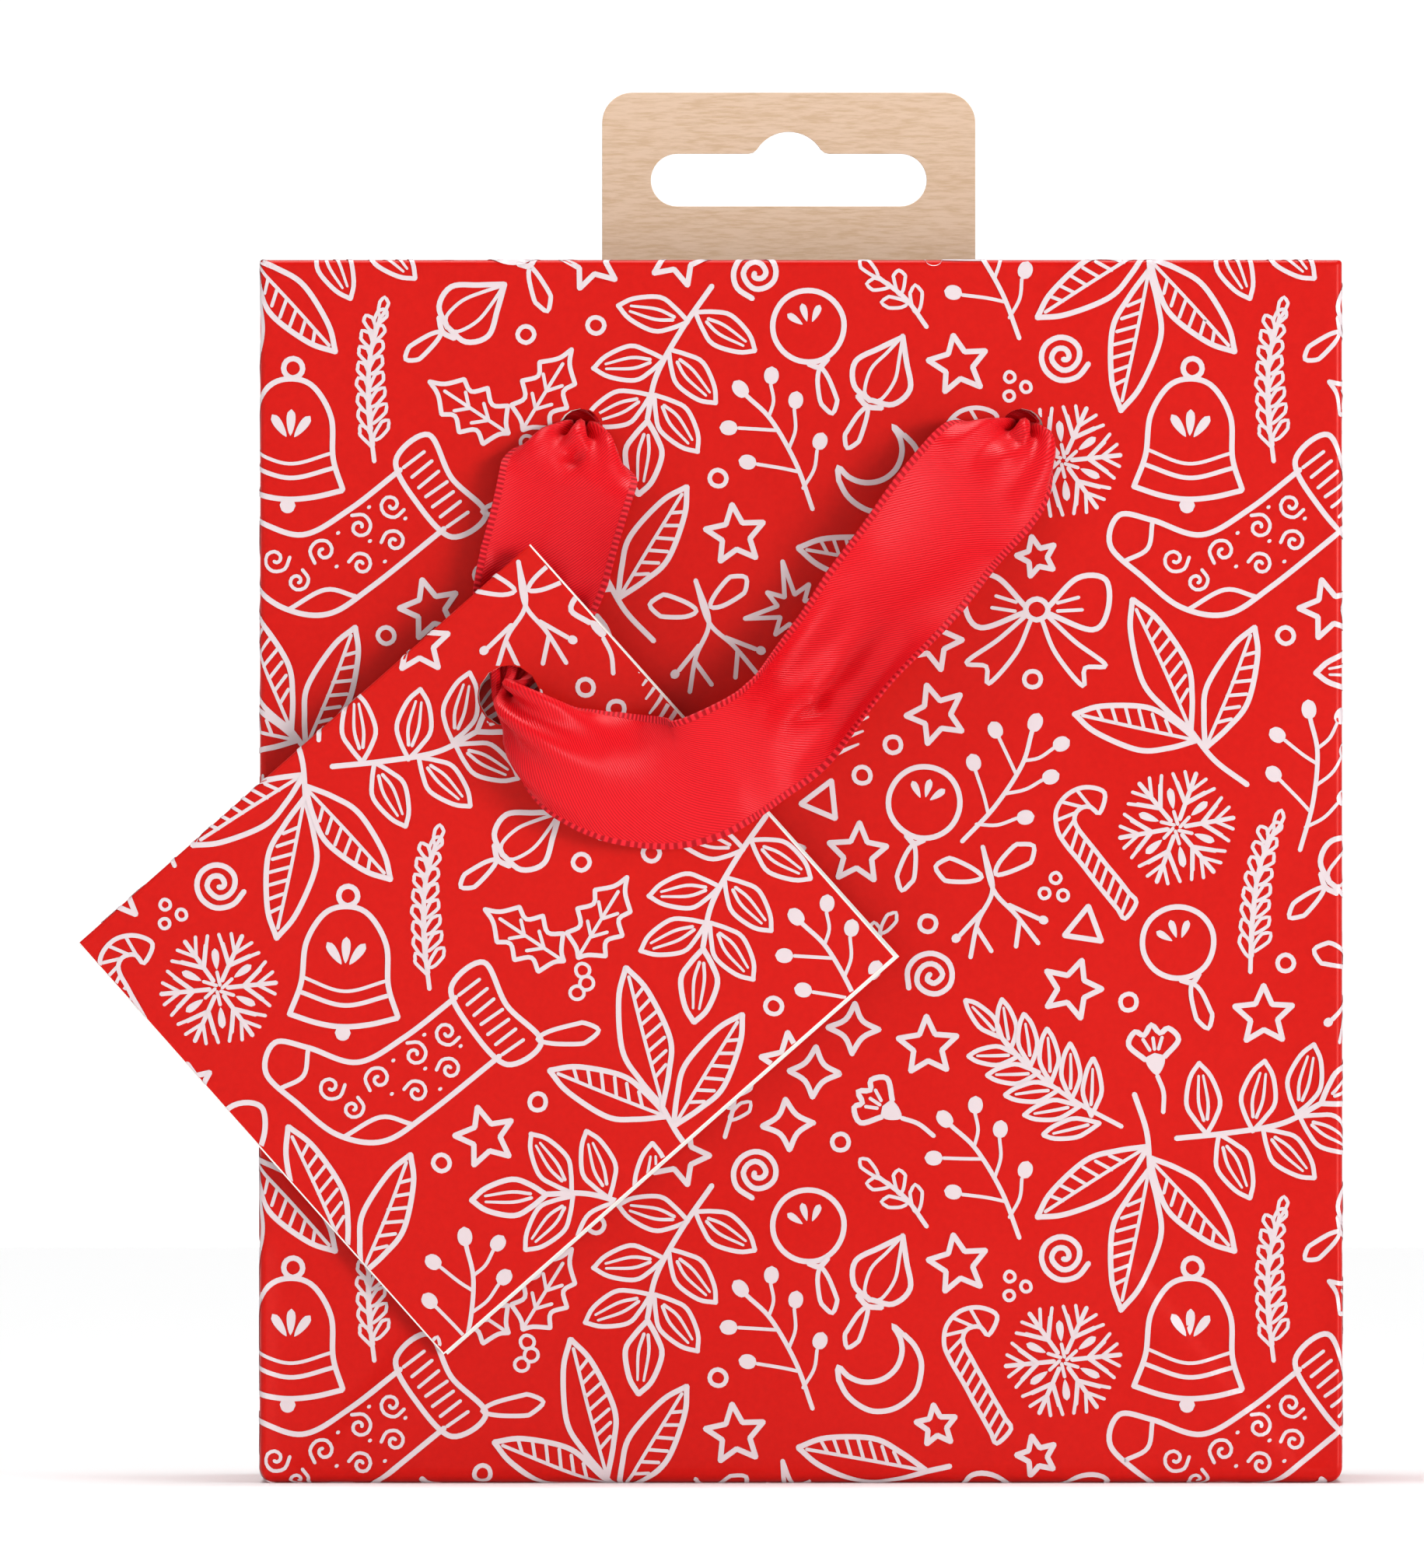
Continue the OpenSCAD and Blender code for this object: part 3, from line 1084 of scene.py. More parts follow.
def draw_moon(pen: Pen) -> None:
    """Draws a crescent moon.

    Args:
        pen: The pen.
    """
    outer = [polar(4.8, math.radians(a)) for a in range(-150, 71, 22)]
    inner = [polar(3.9, math.radians(a), (-1.9, 1.9)) for a in range(58, -139, -24)]
    pen.line(outer)
    pen.line([outer[-1]] + inner + [outer[0]])


def draw_burst(pen: Pen) -> None:
    """Draws an eight-pointed star with rays between its long arms.

    Args:
        pen: The pen.
    """
    ring = []
    for k in range(16):
        radius = 1.7 if k % 2 else (5.6 if k % 4 == 0 else 3.4)
        ring.append(polar(radius, math.pi * k / 8))
    pen.edges(ring, Weight.MEDIUM)


def draw_fir(pen: Pen) -> None:
    """Draws a fir twig with short needles.

    Args:
        pen: The pen.
    """
    pen.line([(-7.5, 0.6), (0, 0), (7.5, 0.9)], Weight.MEDIUM)
    for k in range(9):
        x = -6.4 + 1.6 * k
        for sign in (-1, 1):
            pen.line([(x, 0.1), (x + 1.6, sign * 1.6), (x + 2.7, sign * 2.9)], Weight.MEDIUM, fade=0.5)


def draw_willow(pen: Pen) -> None:
    """Draws a twig with long narrow leaves in pairs.

    Args:
        pen: The pen.
    """
    pen.line([(1.5, -10), (0.3, -4), (0, 2), (0.6, 7)], Weight.MEDIUM)
    pen.leaf((0.6, 7), math.radians(84), 6.0, 2.0, Weight.MEDIUM, veins=1)
    for k in range(5):
        y = -7.2 + 3.0 * k
        for sign in (-1, 1):
            turn = math.radians(90 - sign * (52 - 3 * k))
            pen.leaf((0.25, y + 0.6 * sign), turn, 6.6 - 0.2 * k, 2.2, Weight.MEDIUM, veins=1)


def draw_three_rings(pen: Pen) -> None:
    """Draws three small rings close together.

    Args:
        pen: The pen.
    """
    for k in range(3):
        pen.oval(polar(1.25, math.radians(90 + 120 * k)), 0.6, 0.6, Weight.FINE)


@dataclass(frozen=True)
class MotifPlan:
    """How often a drawing is placed on the repeat, and how far it may be turned."""

    draw: Callable[[Pen], None]
    count: int
    turn: float
    spread: float


PLANS = (
    MotifPlan(draw_stocking, 1, -50, 6), MotifPlan(draw_bell, 1, 0, 8), MotifPlan(draw_spray, 3, 0, 180),
    MotifPlan(draw_branch, 3, 0, 180), MotifPlan(draw_bow, 1, -15, 15), MotifPlan(draw_willow, 1, 0, 60),
    MotifPlan(draw_snowflake, 2, 0, 30), MotifPlan(draw_cane, 2, 35, 8), MotifPlan(draw_holly, 1, 0, 60),
    MotifPlan(draw_berries, 4, 0, 60), MotifPlan(draw_twig, 3, 0, 25), MotifPlan(draw_fern, 2, 0, 25),
    MotifPlan(draw_bauble, 4, 200, 50), MotifPlan(draw_onion, 3, 180, 60), MotifPlan(draw_star, 13, 0, 20),
    MotifPlan(draw_moon, 1, 0, 20), MotifPlan(draw_burst, 1, 0, 20), MotifPlan(draw_fir, 2, 0, 90),
    MotifPlan(draw_broad_leaf, 2, 0, 180), MotifPlan(draw_blossom, 5, 0, 60),
    MotifPlan(draw_spiral, 4, 0, 180), MotifPlan(draw_sprig, 6, 0, 50), MotifPlan(draw_sparkle, 7, 0, 6),
    MotifPlan(draw_cushion, 4, 45, 6), MotifPlan(draw_small_star, 12, 0, 20),
    MotifPlan(draw_triangle, 5, 0, 25), MotifPlan(draw_three_rings, 3, 0, 60), MotifPlan(draw_ring, 30, 0, 0),
)


class PrintTile:
    """The square repeat of the print, packed with drawings that don't touch."""

    SIZE = 103.0
    CELLS = 206
    GAP = 1.45
    HALO = 2.4

    def __init__(self, plans: Sequence[MotifPlan], seed: int) -> None:
        self.rng = random.Random(seed)
        self.motifs: list[list[Stroke]] = []
        self.taken = np.zeros((self.CELLS, self.CELLS))
        for plan in plans:
            spots: list[Pair] = []
            for _ in range(plan.count):
                spot = self._place(plan, spots)
                if spot is not None:
                    spots.append(spot)
        LOG.info("print repeat: %d drawings, %.0f%% of cells", len(self.motifs), 100 * self.taken.mean())

    def _raster(self, strokes: Sequence[Stroke], grow: float) -> np.ndarray:
        """Cells covered by strokes, wrapped round the repeat.

        Args:
            strokes: The strokes.
            grow: Distance added all round, in mm.

        Returns:
            The grid, 1 where covered.
        """
        cell = self.SIZE / self.CELLS
        grid = np.zeros((self.CELLS, self.CELLS))
        for stroke in strokes:
            spots = [stroke.points]
            if stroke.solid:
                centre = stroke.points.mean(axis=0)
                spots += [centre + (stroke.points - centre) * k for k in (0.25, 0.5, 0.75)]
            index = np.round(np.vstack(spots) / cell).astype(int) % self.CELLS
            grid[index[:, 0], index[:, 1]] = 1
        reach = np.fft.fftfreq(self.CELLS) * self.SIZE
        disc = (np.hypot(reach[:, None], reach[None, :]) <= grow + 0.3).astype(float)
        spread = np.fft.irfft2(np.fft.rfft2(grid) * np.fft.rfft2(disc), s=grid.shape)
        return (spread > 0.5).astype(float)

    def _place(self, plan: MotifPlan, spots: list[Pair]) -> Pair | None:
        """Puts one drawing where it fits most closely against the others.

        Args:
            plan: The drawing and how it may be turned.
            spots: Where the same drawing already is.

        Returns:
            Where it went, or None if there was no room.
        """
        reach = np.arange(self.CELLS) * self.SIZE / self.CELLS
        taken = np.fft.rfft2(self.taken)
        best: tuple[float, list[Stroke], Pair] | None = None
        for _ in range(3):
            pen = Pen(self.rng)
            plan.draw(pen)
            turn = math.radians(plan.turn + self.rng.uniform(-plan.spread, plan.spread))
            strokes = [stroke.moved(turn, (0.0, 0.0)) for stroke in pen.strokes]
            body = self._raster(strokes, self.GAP)
            halo = self._raster(strokes, self.HALO)
            clash = np.fft.irfft2(taken * np.conj(np.fft.rfft2(body)), s=body.shape)
            score = np.fft.irfft2(taken * np.conj(np.fft.rfft2(halo)), s=body.shape)
            score = score / halo.sum() + 0.01 * (self.rng.random() + self.rng.random())
            for x, y in spots:
                dx = np.abs((reach - x + self.SIZE / 2) % self.SIZE - self.SIZE / 2)
                dy = np.abs((reach - y + self.SIZE / 2) % self.SIZE - self.SIZE / 2)
                away = np.hypot(dx[:, None], dy[None, :])
                score -= 0.25 * np.clip(1 - away / 30, 0, 1)
            score[clash > 0.5] = -9
            spot = np.unravel_index(int(np.argmax(score)), score.shape)
            value = float(score[spot])
            if value > -5 and (best is None or value > best[0]):
                shift = (float(reach[spot[0]]), float(reach[spot[1]]))
                best = (value, strokes, shift)
        if best is None:
            return None
        _, strokes, shift = best
        moved = [stroke.moved(0.0, shift) for stroke in strokes]
        self.taken = np.maximum(self.taken, self._raster(moved, 0.25))
        self.motifs.append([stroke for stroke in moved if stroke.widths.max() > 0])
        return shift

    def strokes_in(
        self, low: Pair, high: Pair, turn: float, shift: Pair
    ) -> list[Stroke]:
        """The print's strokes that may show in a rectangle.

        Args:
            low: Its lower corner, in flat coordinates.
            high: Its upper corner.
            turn: Angle of the print on the sheet, in radians.
            shift: Where the repeat's corner lies on the sheet.

        Returns:
            The strokes, in flat coordinates.
        """
        centre = np.array([(low[0] + high[0]) / 2, (low[1] + high[1]) / 2]) - np.array(shift)
        c, s = math.cos(-turn), math.sin(-turn)
        middle = np.array([c * centre[0] - s * centre[1], s * centre[0] + c * centre[1]])
        reach = math.hypot(high[0] - low[0], high[1] - low[1]) / 2 + 20
        first = np.floor((middle - reach) / self.SIZE).astype(int)
        last = np.ceil((middle + reach) / self.SIZE).astype(int)
        found = []
        for i in range(first[0], last[0] + 1):
            for j in range(first[1], last[1] + 1):
                offset = np.array([i, j]) * self.SIZE
                for motif in self.motifs:
                    for stroke in motif:
                        moved = Stroke(stroke.points + offset, stroke.widths).moved(turn, shift)
                        if np.all(moved.points.max(axis=0) > low) and np.all(moved.points.min(axis=0) < high):
                            found.append(moved)
        return found


@dataclass(frozen=True)
class Region:
    """A rectangle of a sheet that takes print, less the holes in it."""

    low: Pair
    high: Pair
    holes: tuple[Triple, ...] = ()

    def holds(self, points: np.ndarray, grow: np.ndarray) -> np.ndarray:
        """Which points are in the region.

        Args:
            points: Flat coordinates, one point a row.
            grow: How far outside each may be.

        Returns:
            True for those inside.
        """
        inside = np.all(points > np.array(self.low) - grow[:, None], axis=1)
        inside &= np.all(points < np.array(self.high) + grow[:, None], axis=1)
        for x, y, radius in self.holes:
            inside &= np.hypot(points[:, 0] - x, points[:, 1] - y) > radius - grow
        return inside

    def clipped(self, points: np.ndarray) -> np.ndarray:
        """Points moved to the nearest place inside the region.

        Args:
            points: Flat coordinates, one point a row.

        Returns:
            The moved points.
        """
        points = np.clip(points, self.low, self.high)
        for x, y, radius in self.holes:
            away = points - np.array([x, y])
            distance = np.maximum(np.linalg.norm(away, axis=1, keepdims=True), 1e-6)
            points = np.where(distance < radius, np.array([x, y]) + away / distance * radius, points)
        return points


def print_ink(
    name: str,
    surface: Surface,
    region: Region,
    strokes: Sequence[Stroke],
    material: bpy.types.Material,
) -> bpy.types.Object:
    """Lays strokes on a sheet as thin closed strips of ink.

    Args:
        name: Name of the piece.
        surface: The sheet's face.
        region: Where on the sheet the print may be.
        strokes: The strokes, in flat coordinates.
        material: The ink.

    Returns:
        The new object.
    """
    lefts, rights, middles, lifts = [], [], [], []
    faces: Faces = []
    count = 0
    for layer, stroke in enumerate(strokes):
        points, widths = stroke.points, stroke.widths
        tight = surface.tight(points[:, 0], points[:, 1])
        parts = np.where(tight[1:] | tight[:-1], 4, 1)
        place = np.concatenate([k + np.arange(n) / n for k, n in enumerate(parts)] + [[len(parts)]])
        whole = np.arange(len(points))
        points = np.stack([np.interp(place, whole, column) for column in points.T], axis=1)
        widths = np.interp(place, whole, widths)
        ahead = np.gradient(points, axis=0)
        if np.allclose(points[0], points[-1]):
            ahead[0] = ahead[-1] = points[1] - points[-2]
        ahead /= np.maximum(np.linalg.norm(ahead, axis=1, keepdims=True), 1e-9)
        across = np.stack([-ahead[:, 1], ahead[:, 0]], axis=1) * widths[:, None] / 2
        inside = region.holds(points, widths / 2)
        edges = np.flatnonzero(np.diff(np.concatenate([[0], inside.astype(int), [0]])))
        for start, stop in zip(edges[::2], edges[1::2]):
            if stop - start < 2:
                continue
            run = slice(start, stop)
            lefts.append(region.clipped(points[run] + across[run]))
            rights.append(region.clipped(points[run] - across[run]))
            middles.append(region.clipped(points[run]))
            n = stop - start
            height = INK_LIFT + INK_STAGGER * (layer * GOLDEN_SHARE % 1) + INK_RISE * np.linspace(0, 1, n)
            lifts.append(np.stack([height, height, np.full(n, -INK_ROOT)], axis=1).ravel())
            for k in range(count, count + n - 1):
                a, b = 3 * k, 3 * k + 3
                faces += [(a + 1, b + 1, b, a), (a, b, b + 2, a + 2), (b + 1, a + 1, a + 2, b + 2)]
            faces += [(3 * count, 3 * count + 2, 3 * count + 1)]
            end = 3 * (count + n - 1)
            faces += [(end + 1, end + 2, end)]
            count += n
    flat = np.stack([np.vstack(lefts), np.vstack(rights), np.vstack(middles)], axis=1).reshape(-1, 2)
    spots = surface.place(flat[:, 0], flat[:, 1], np.concatenate(lifts))
    LOG.info("%s: %d strokes, %d faces", name, len(strokes), len(faces))
    return add_mesh(name, spots, faces, [material], smooth=False)


# ---- Finishes ----


def linear(code: str) -> tuple[float, float, float, float]:
    """Turns an sRGB hex colour into the linear one that shaders use.

    Args:
        code: Six hex digits after a hash sign.

    Returns:
        Red, green, blue and alpha.
    """
    parts = [int(code[k : k + 2], 16) / 255 for k in (1, 3, 5)]
    low = [p / 12.92 if p <= 0.04045 else ((p + 0.055) / 1.055) ** 2.4 for p in parts]
    return low[0], low[1], low[2], 1.0


def per_mm(size: float) -> float:
    """Texture scale whose features are about that size.

    Args:
        size: Feature size in mm.

    Returns:
        The scale for coordinates in metres.
    """
    return 1000.0 / size


def add_node(
    tree: bpy.types.NodeTree, kind: str, inputs: dict[str | int, object] | None = None, **settings: object
) -> bpy.types.Node:
    """Adds a node with its settings, and sets or links its inputs.

    Args:
        tree: The material's node tree.
        kind: Node type.
        inputs: A value or another node's output for each input.
        settings: Properties of the node.

    Returns:
        The new node.
    """
    node = tree.nodes.new(kind)
    for name, value in settings.items():
        setattr(node, name, value)
    for key, value in (inputs or {}).items():
        if isinstance(value, bpy.types.NodeSocket):
            tree.links.new(value, node.inputs[key])
        else:
            node.inputs[key].default_value = value
    return node


def new_surface(name: str, inputs: dict[str | int, object]) -> tuple[bpy.types.Material, bpy.types.Node]:
    """Makes a material with one Principled shader.

    Args:
        name: Name of the material.
        inputs: Uniform values of the shader.

    Returns:
        The material and its shader node.
    """
    material = bpy.data.materials.new(name)
    material.use_nodes = True
    shader = material.node_tree.nodes["Principled BSDF"]
    for key, value in inputs.items():
        shader.inputs[key].default_value = value
    material.diffuse_color = inputs.get("Base Color", (0.8, 0.8, 0.8, 1.0))
    return material, shader


def add_grain(
    material: bpy.types.Material,
    shader: bpy.types.Node,
    size: float,
    height: float,
    rough: Pair,
    stretch: Triple = (1.0, 1.0, 1.0),
    wave_size: float = 0.0,
    wave_height: float = 0.0,
) -> bpy.types.NodeSocket:
    """Adds fine relief and uneven roughness to a material.

    Args:
        material: The material.
        shader: Its shader node.
        size: Grain size in mm.
        height: Grain height in mm.
        rough: Lowest and highest roughness.
        stretch: Scale of the grain along X, Y and Z.
        wave_size: Size of a second, broad relief in mm, or 0 for none.
        wave_height: Height of the broad relief in mm.

    Returns:
        The grain's value, for use in the colour.
    """
    tree = material.node_tree
    place = add_node(tree, "ShaderNodeTexCoord").outputs["Object"]
    mapped = add_node(tree, "ShaderNodeMapping", {"Vector": place, "Scale": stretch}).outputs[0]
    grain = add_node(
        tree, "ShaderNodeTexNoise", {"Vector": mapped, "Scale": per_mm(size), "Detail": 4.0, "Roughness": 0.6}
    ).outputs[0]
    blotch = add_node(
        tree, "ShaderNodeTexNoise", {"Vector": place, "Scale": per_mm(size * 14), "Detail": 2.0}
    ).outputs[0]
    spread = add_node(
        tree,
        "ShaderNodeMapRange",
        {"Value": blotch, "From Min": 0.3, "From Max": 0.7, "To Min": rough[0], "To Max": rough[1]},
    )
    tree.links.new(spread.outputs[0], shader.inputs["Roughness"])
    bump = add_node(tree, "ShaderNodeBump", {"Height": grain, "Distance": height * MM, "Strength": 1.0})
    if wave_size:
        wave = add_node(
            tree, "ShaderNodeTexNoise", {"Vector": place, "Scale": per_mm(wave_size), "Detail": 1.0}
        ).outputs[0]
        broad = add_node(
            tree, "ShaderNodeBump", {"Height": wave, "Distance": wave_height * MM, "Strength": 1.0}
        )
        tree.links.new(broad.outputs[0], bump.inputs["Normal"])
    tree.links.new(bump.outputs[0], shader.inputs["Normal"])
    return grain


def mix_colours(
    tree: bpy.types.NodeTree, value: bpy.types.NodeSocket, low: float, high: float, first: str, second: str
) -> bpy.types.NodeSocket:
    """Colour that goes from one to another as a value rises.

    Args:
        tree: The material's node tree.
        value: The value.
        low: Value of the first colour.
        high: Value of the second colour.
        first: First colour, sRGB hex.
        second: Second colour, sRGB hex.

    Returns:
        The colour.
    """
    share = add_node(tree, "ShaderNodeMapRange", {"Value": value, "From Min": low, "From Max": high})
    mix = add_node(
        tree, "ShaderNodeMix", {0: share.outputs[0], 6: linear(first), 7: linear(second)}, data_type="RGBA"
    )
    return mix.outputs[2]


@dataclass(frozen=True)
class LaminatedPaper:
    """Art paper printed red and film laminated: a soft gloss over a faintly uneven face."""

    colour: str = "#C4120C"
    deep: str = "#BC0F0A"
    name: str = "art_paper_printed_red_gloss_laminated"

    def build(self) -> bpy.types.Material:
        """Makes the material.

        Returns:
            The material.
        """
        material, shader = new_surface(
            self.name,
            {
                "Base Color": linear(self.colour),
                "Specular IOR Level": 0.32,
                "Specular Tint": linear("#FF8C84"),
                "Coat Weight": 0.06,
                "Coat Roughness": 0.2,
            },
        )
        grain = add_grain(material, shader, 0.7, 0.004, (0.3, 0.42), wave_size=9.0, wave_height=0.05)
        colour = mix_colours(material.node_tree, grain, 0.3, 0.7, self.deep, self.colour)
        material.node_tree.links.new(colour, shader.inputs["Base Color"])
        return material


@dataclass(frozen=True)
class PrintedWhite:
    """White of the drawings under the same laminate: bright, with the paper's soft gloss."""

    colour: str = "#D2C3C6"
    name: str = "white_print_under_gloss_laminate"

    def build(self) -> bpy.types.Material:
        """Makes the material.

        Returns:
            The material.
        """
        material, shader = new_surface(
            self.name, {"Base Color": linear(self.colour), "Coat Weight": 0.06, "Coat Roughness": 0.2}
        )
        add_grain(material, shader, 0.5, 0.003, (0.32, 0.44), wave_size=9.0, wave_height=0.05)
        return material


@dataclass(frozen=True)
class PlainStock:
    """Unprinted paper, board or tape, in one colour or flecked along its grain."""

    colour: str
    name: str
    grain: float
    relief: float
    rough: Pair
    fleck: str = ""
    fleck_span: Pair = (0.0, 1.0)
    stretch: Triple = (1.0, 1.0, 1.0)

    def build(self) -> bpy.types.Material:
        """Makes the material.

        Returns:
            The material.
        """
        material, shader = new_surface(self.name, {"Base Color": linear(self.colour)})
        grain = add_grain(material, shader, self.grain, self.relief, self.rough, self.stretch)
        if self.fleck:
            tree = material.node_tree
            colour = mix_colours(tree, grain, *self.fleck_span, self.fleck, self.colour)
            tree.links.new(colour, shader.inputs["Base Color"])
        return material


@dataclass(frozen=True)
class PaperCore(PlainStock):
    """Uncoated white side and cut edges of the paper: matt, with a felt-like tooth."""

    colour: str = "#E4E3DE"
    name: str = "uncoated_white_paper"
    grain: float = 0.35
    relief: float = 0.02
    rough: Pair = (0.8, 0.92)


@dataclass(frozen=True)
class Greyboard(PlainStock):
    """Pressed recycled board of the stiffeners and the base card: matt grey with flecks."""

    colour: str = "#A9A499"
    fleck: str = "#8C877C"
    fleck_span: Pair = (0.35, 0.6)
    name: str = "pressed_recycled_greyboard"
    grain: float = 0.5
    relief: float = 0.03
    rough: Pair = (0.85, 0.95)


@dataclass(frozen=True)
class KraftBoard(PlainStock):
    """Unbleached kraft board of the hang tab: warm tan with fine level fibres."""

    colour: str = "#E4C6AB"
    fleck: str = "#D6B594"
    fleck_span: Pair = (0.36, 0.58)
    stretch: Triple = (0.12, 1.0, 1.0)
    name: str = "die_cut_unbleached_kraft_board"
    grain: float = 0.32
    relief: float = 0.02
    rough: Pair = (0.72, 0.85)


@dataclass(frozen=True)
class AdhesiveTape(PlainStock):
    """Double-sided tissue tape: translucent-looking cream, slightly shiny."""

    colour: str = "#D8D2C2"
    name: str = "double_sided_tissue_tape"
    grain: float = 0.6
    relief: float = 0.01
    rough: Pair = (0.4, 0.55)


@dataclass(frozen=True)
class SatinRibbon:
    """Woven polyester satin: a soft sheen over a fine slanted weave, and a corded edge."""

    colour: str = "#E2141F"
    edge_light: str = "#E0202C"
    # Painted shade: the darker red of the corded edge's hollows.
    cord_hollow_painted_shade: str = "#9C0810"
    weave_pitch: float = 0.38
    edge_pitch: float = 0.62
    edge_width: float = 0.85
    name: str = "woven_polyester_satin_ribbon"

    def build(self) -> bpy.types.Material:
        """Makes the material.

        Returns:
            The material.
        """
        material, shader = new_surface(
            self.name,
            {
                "Base Color": linear(self.colour),
                "Roughness": 0.36,
                "Anisotropic": 0.55,
                "Sheen Weight": 0.12,
                "Sheen Roughness": 0.35,
                "Sheen Tint": linear("#FF5A68"),
                "Specular IOR Level": 0.6,
                "Specular Tint": linear("#FF8890"),
            },
        )
        tree = material.node_tree
        flat = add_node(tree, "ShaderNodeTexCoord").outputs["UV"]
        twill = add_node(
            tree,
            "ShaderNodeTexWave",
            {"Vector": flat, "Scale": 0.628 / self.weave_pitch, "Distortion": 0.6, "Detail": 1.0},
            wave_type="BANDS",
            bands_direction="DIAGONAL",
        ).outputs["Fac"]
        cord = add_node(
            tree,
            "ShaderNodeTexWave",
            {"Vector": flat, "Scale": 0.314 / self.edge_pitch, "Distortion": 0.3},
            wave_type="BANDS",
            bands_direction="Y",
        ).outputs["Fac"]
        across = add_node(tree, "ShaderNodeSeparateXYZ", {0: flat}).outputs[0]
        middle = RIBBON_WIDTH / 2
        off = add_node(tree, "ShaderNodeMath", {0: across, 1: middle}, operation="SUBTRACT").outputs[0]
        away = add_node(tree, "ShaderNodeMath", {0: off}, operation="ABSOLUTE").outputs[0]
        limit = middle - self.edge_width
        edge = add_node(
            tree, "ShaderNodeMapRange", {"Value": away, "From Min": limit, "From Max": limit + 0.12}
        ).outputs[0]
        # The cord's low places take the darker red, painted shade in its hollows on top of its bump.
        cord_with_painted_shade = mix_colours(tree, cord, 0.25, 0.7, self.cord_hollow_painted_shade, self.edge_light)
        # Painted shade: the twill's low places, where its bump sinks, take the darker #B4060F.
        twill_with_painted_shade = mix_colours(tree, twill, 0.0, 1.0, "#B4060F", self.colour)
        colour = add_node(tree, "ShaderNodeMix", {0: edge, 6: twill_with_painted_shade, 7: cord_with_painted_shade}, data_type="RGBA").outputs[2]
        tree.links.new(colour, shader.inputs["Base Color"])
        soft = add_node(tree, "ShaderNodeMath", {0: twill, 1: 0.24}, operation="MULTIPLY").outputs[0]
        height = add_node(tree, "ShaderNodeMix", {0: edge, 2: soft, 3: cord}, data_type="FLOAT").outputs[0]
        bump = add_node(tree, "ShaderNodeBump", {"Height": height, "Distance": 0.09 * MM, "Strength": 1.0})
        tree.links.new(bump.outputs[0], shader.inputs["Normal"])
        rough = add_node(
            tree, "ShaderNodeMapRange", {"Value": edge, "To Min": 0.36, "To Max": 0.6}
        ).outputs[0]
        tree.links.new(rough, shader.inputs["Roughness"])
        return material


@dataclass(frozen=True)
class StudioPaper(PlainStock):
    """Seamless white studio paper under the object."""

    colour: str = "#F4F4F4"
    name: str = "seamless_white_studio_paper"
    grain: float = 1.5
    relief: float = 0.01
    rough: Pair = (0.85, 0.95)


@dataclass(frozen=True)
class Finishes:
    """Every material of the model, built once."""

    red: bpy.types.Material
    white: bpy.types.Material
    core: bpy.types.Material
    board: bpy.types.Material
    kraft: bpy.types.Material
    tape: bpy.types.Material
    satin: bpy.types.Material

    @classmethod
    def build(cls) -> "Finishes":
        """Makes the materials.

        Returns:
            The set.
        """
        return cls(
            red=LaminatedPaper().build(),
            white=PrintedWhite().build(),
            core=PaperCore().build(),
            board=Greyboard().build(),
            kraft=KraftBoard().build(),
            tape=AdhesiveTape().build(),
            satin=SatinRibbon().build(),
        )


def settle(piece: bpy.types.Object, body: str, replaced: Sequence[str] = ()) -> bpy.types.Object:
    """Ties a piece to its CAD body and hides the CAD nodes it stands for.

    Args:
        piece: The piece.
        body: The CAD body it moves with.
        replaced: CAD nodes it stands for.

    Returns:
        The piece.
    """
    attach(piece, body)
    if replaced:
        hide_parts(*replaced)
    LOG.info("%s: %d faces, on %s", piece.name, len(piece.data.polygons), body)
    return piece


# ---- The bag ----


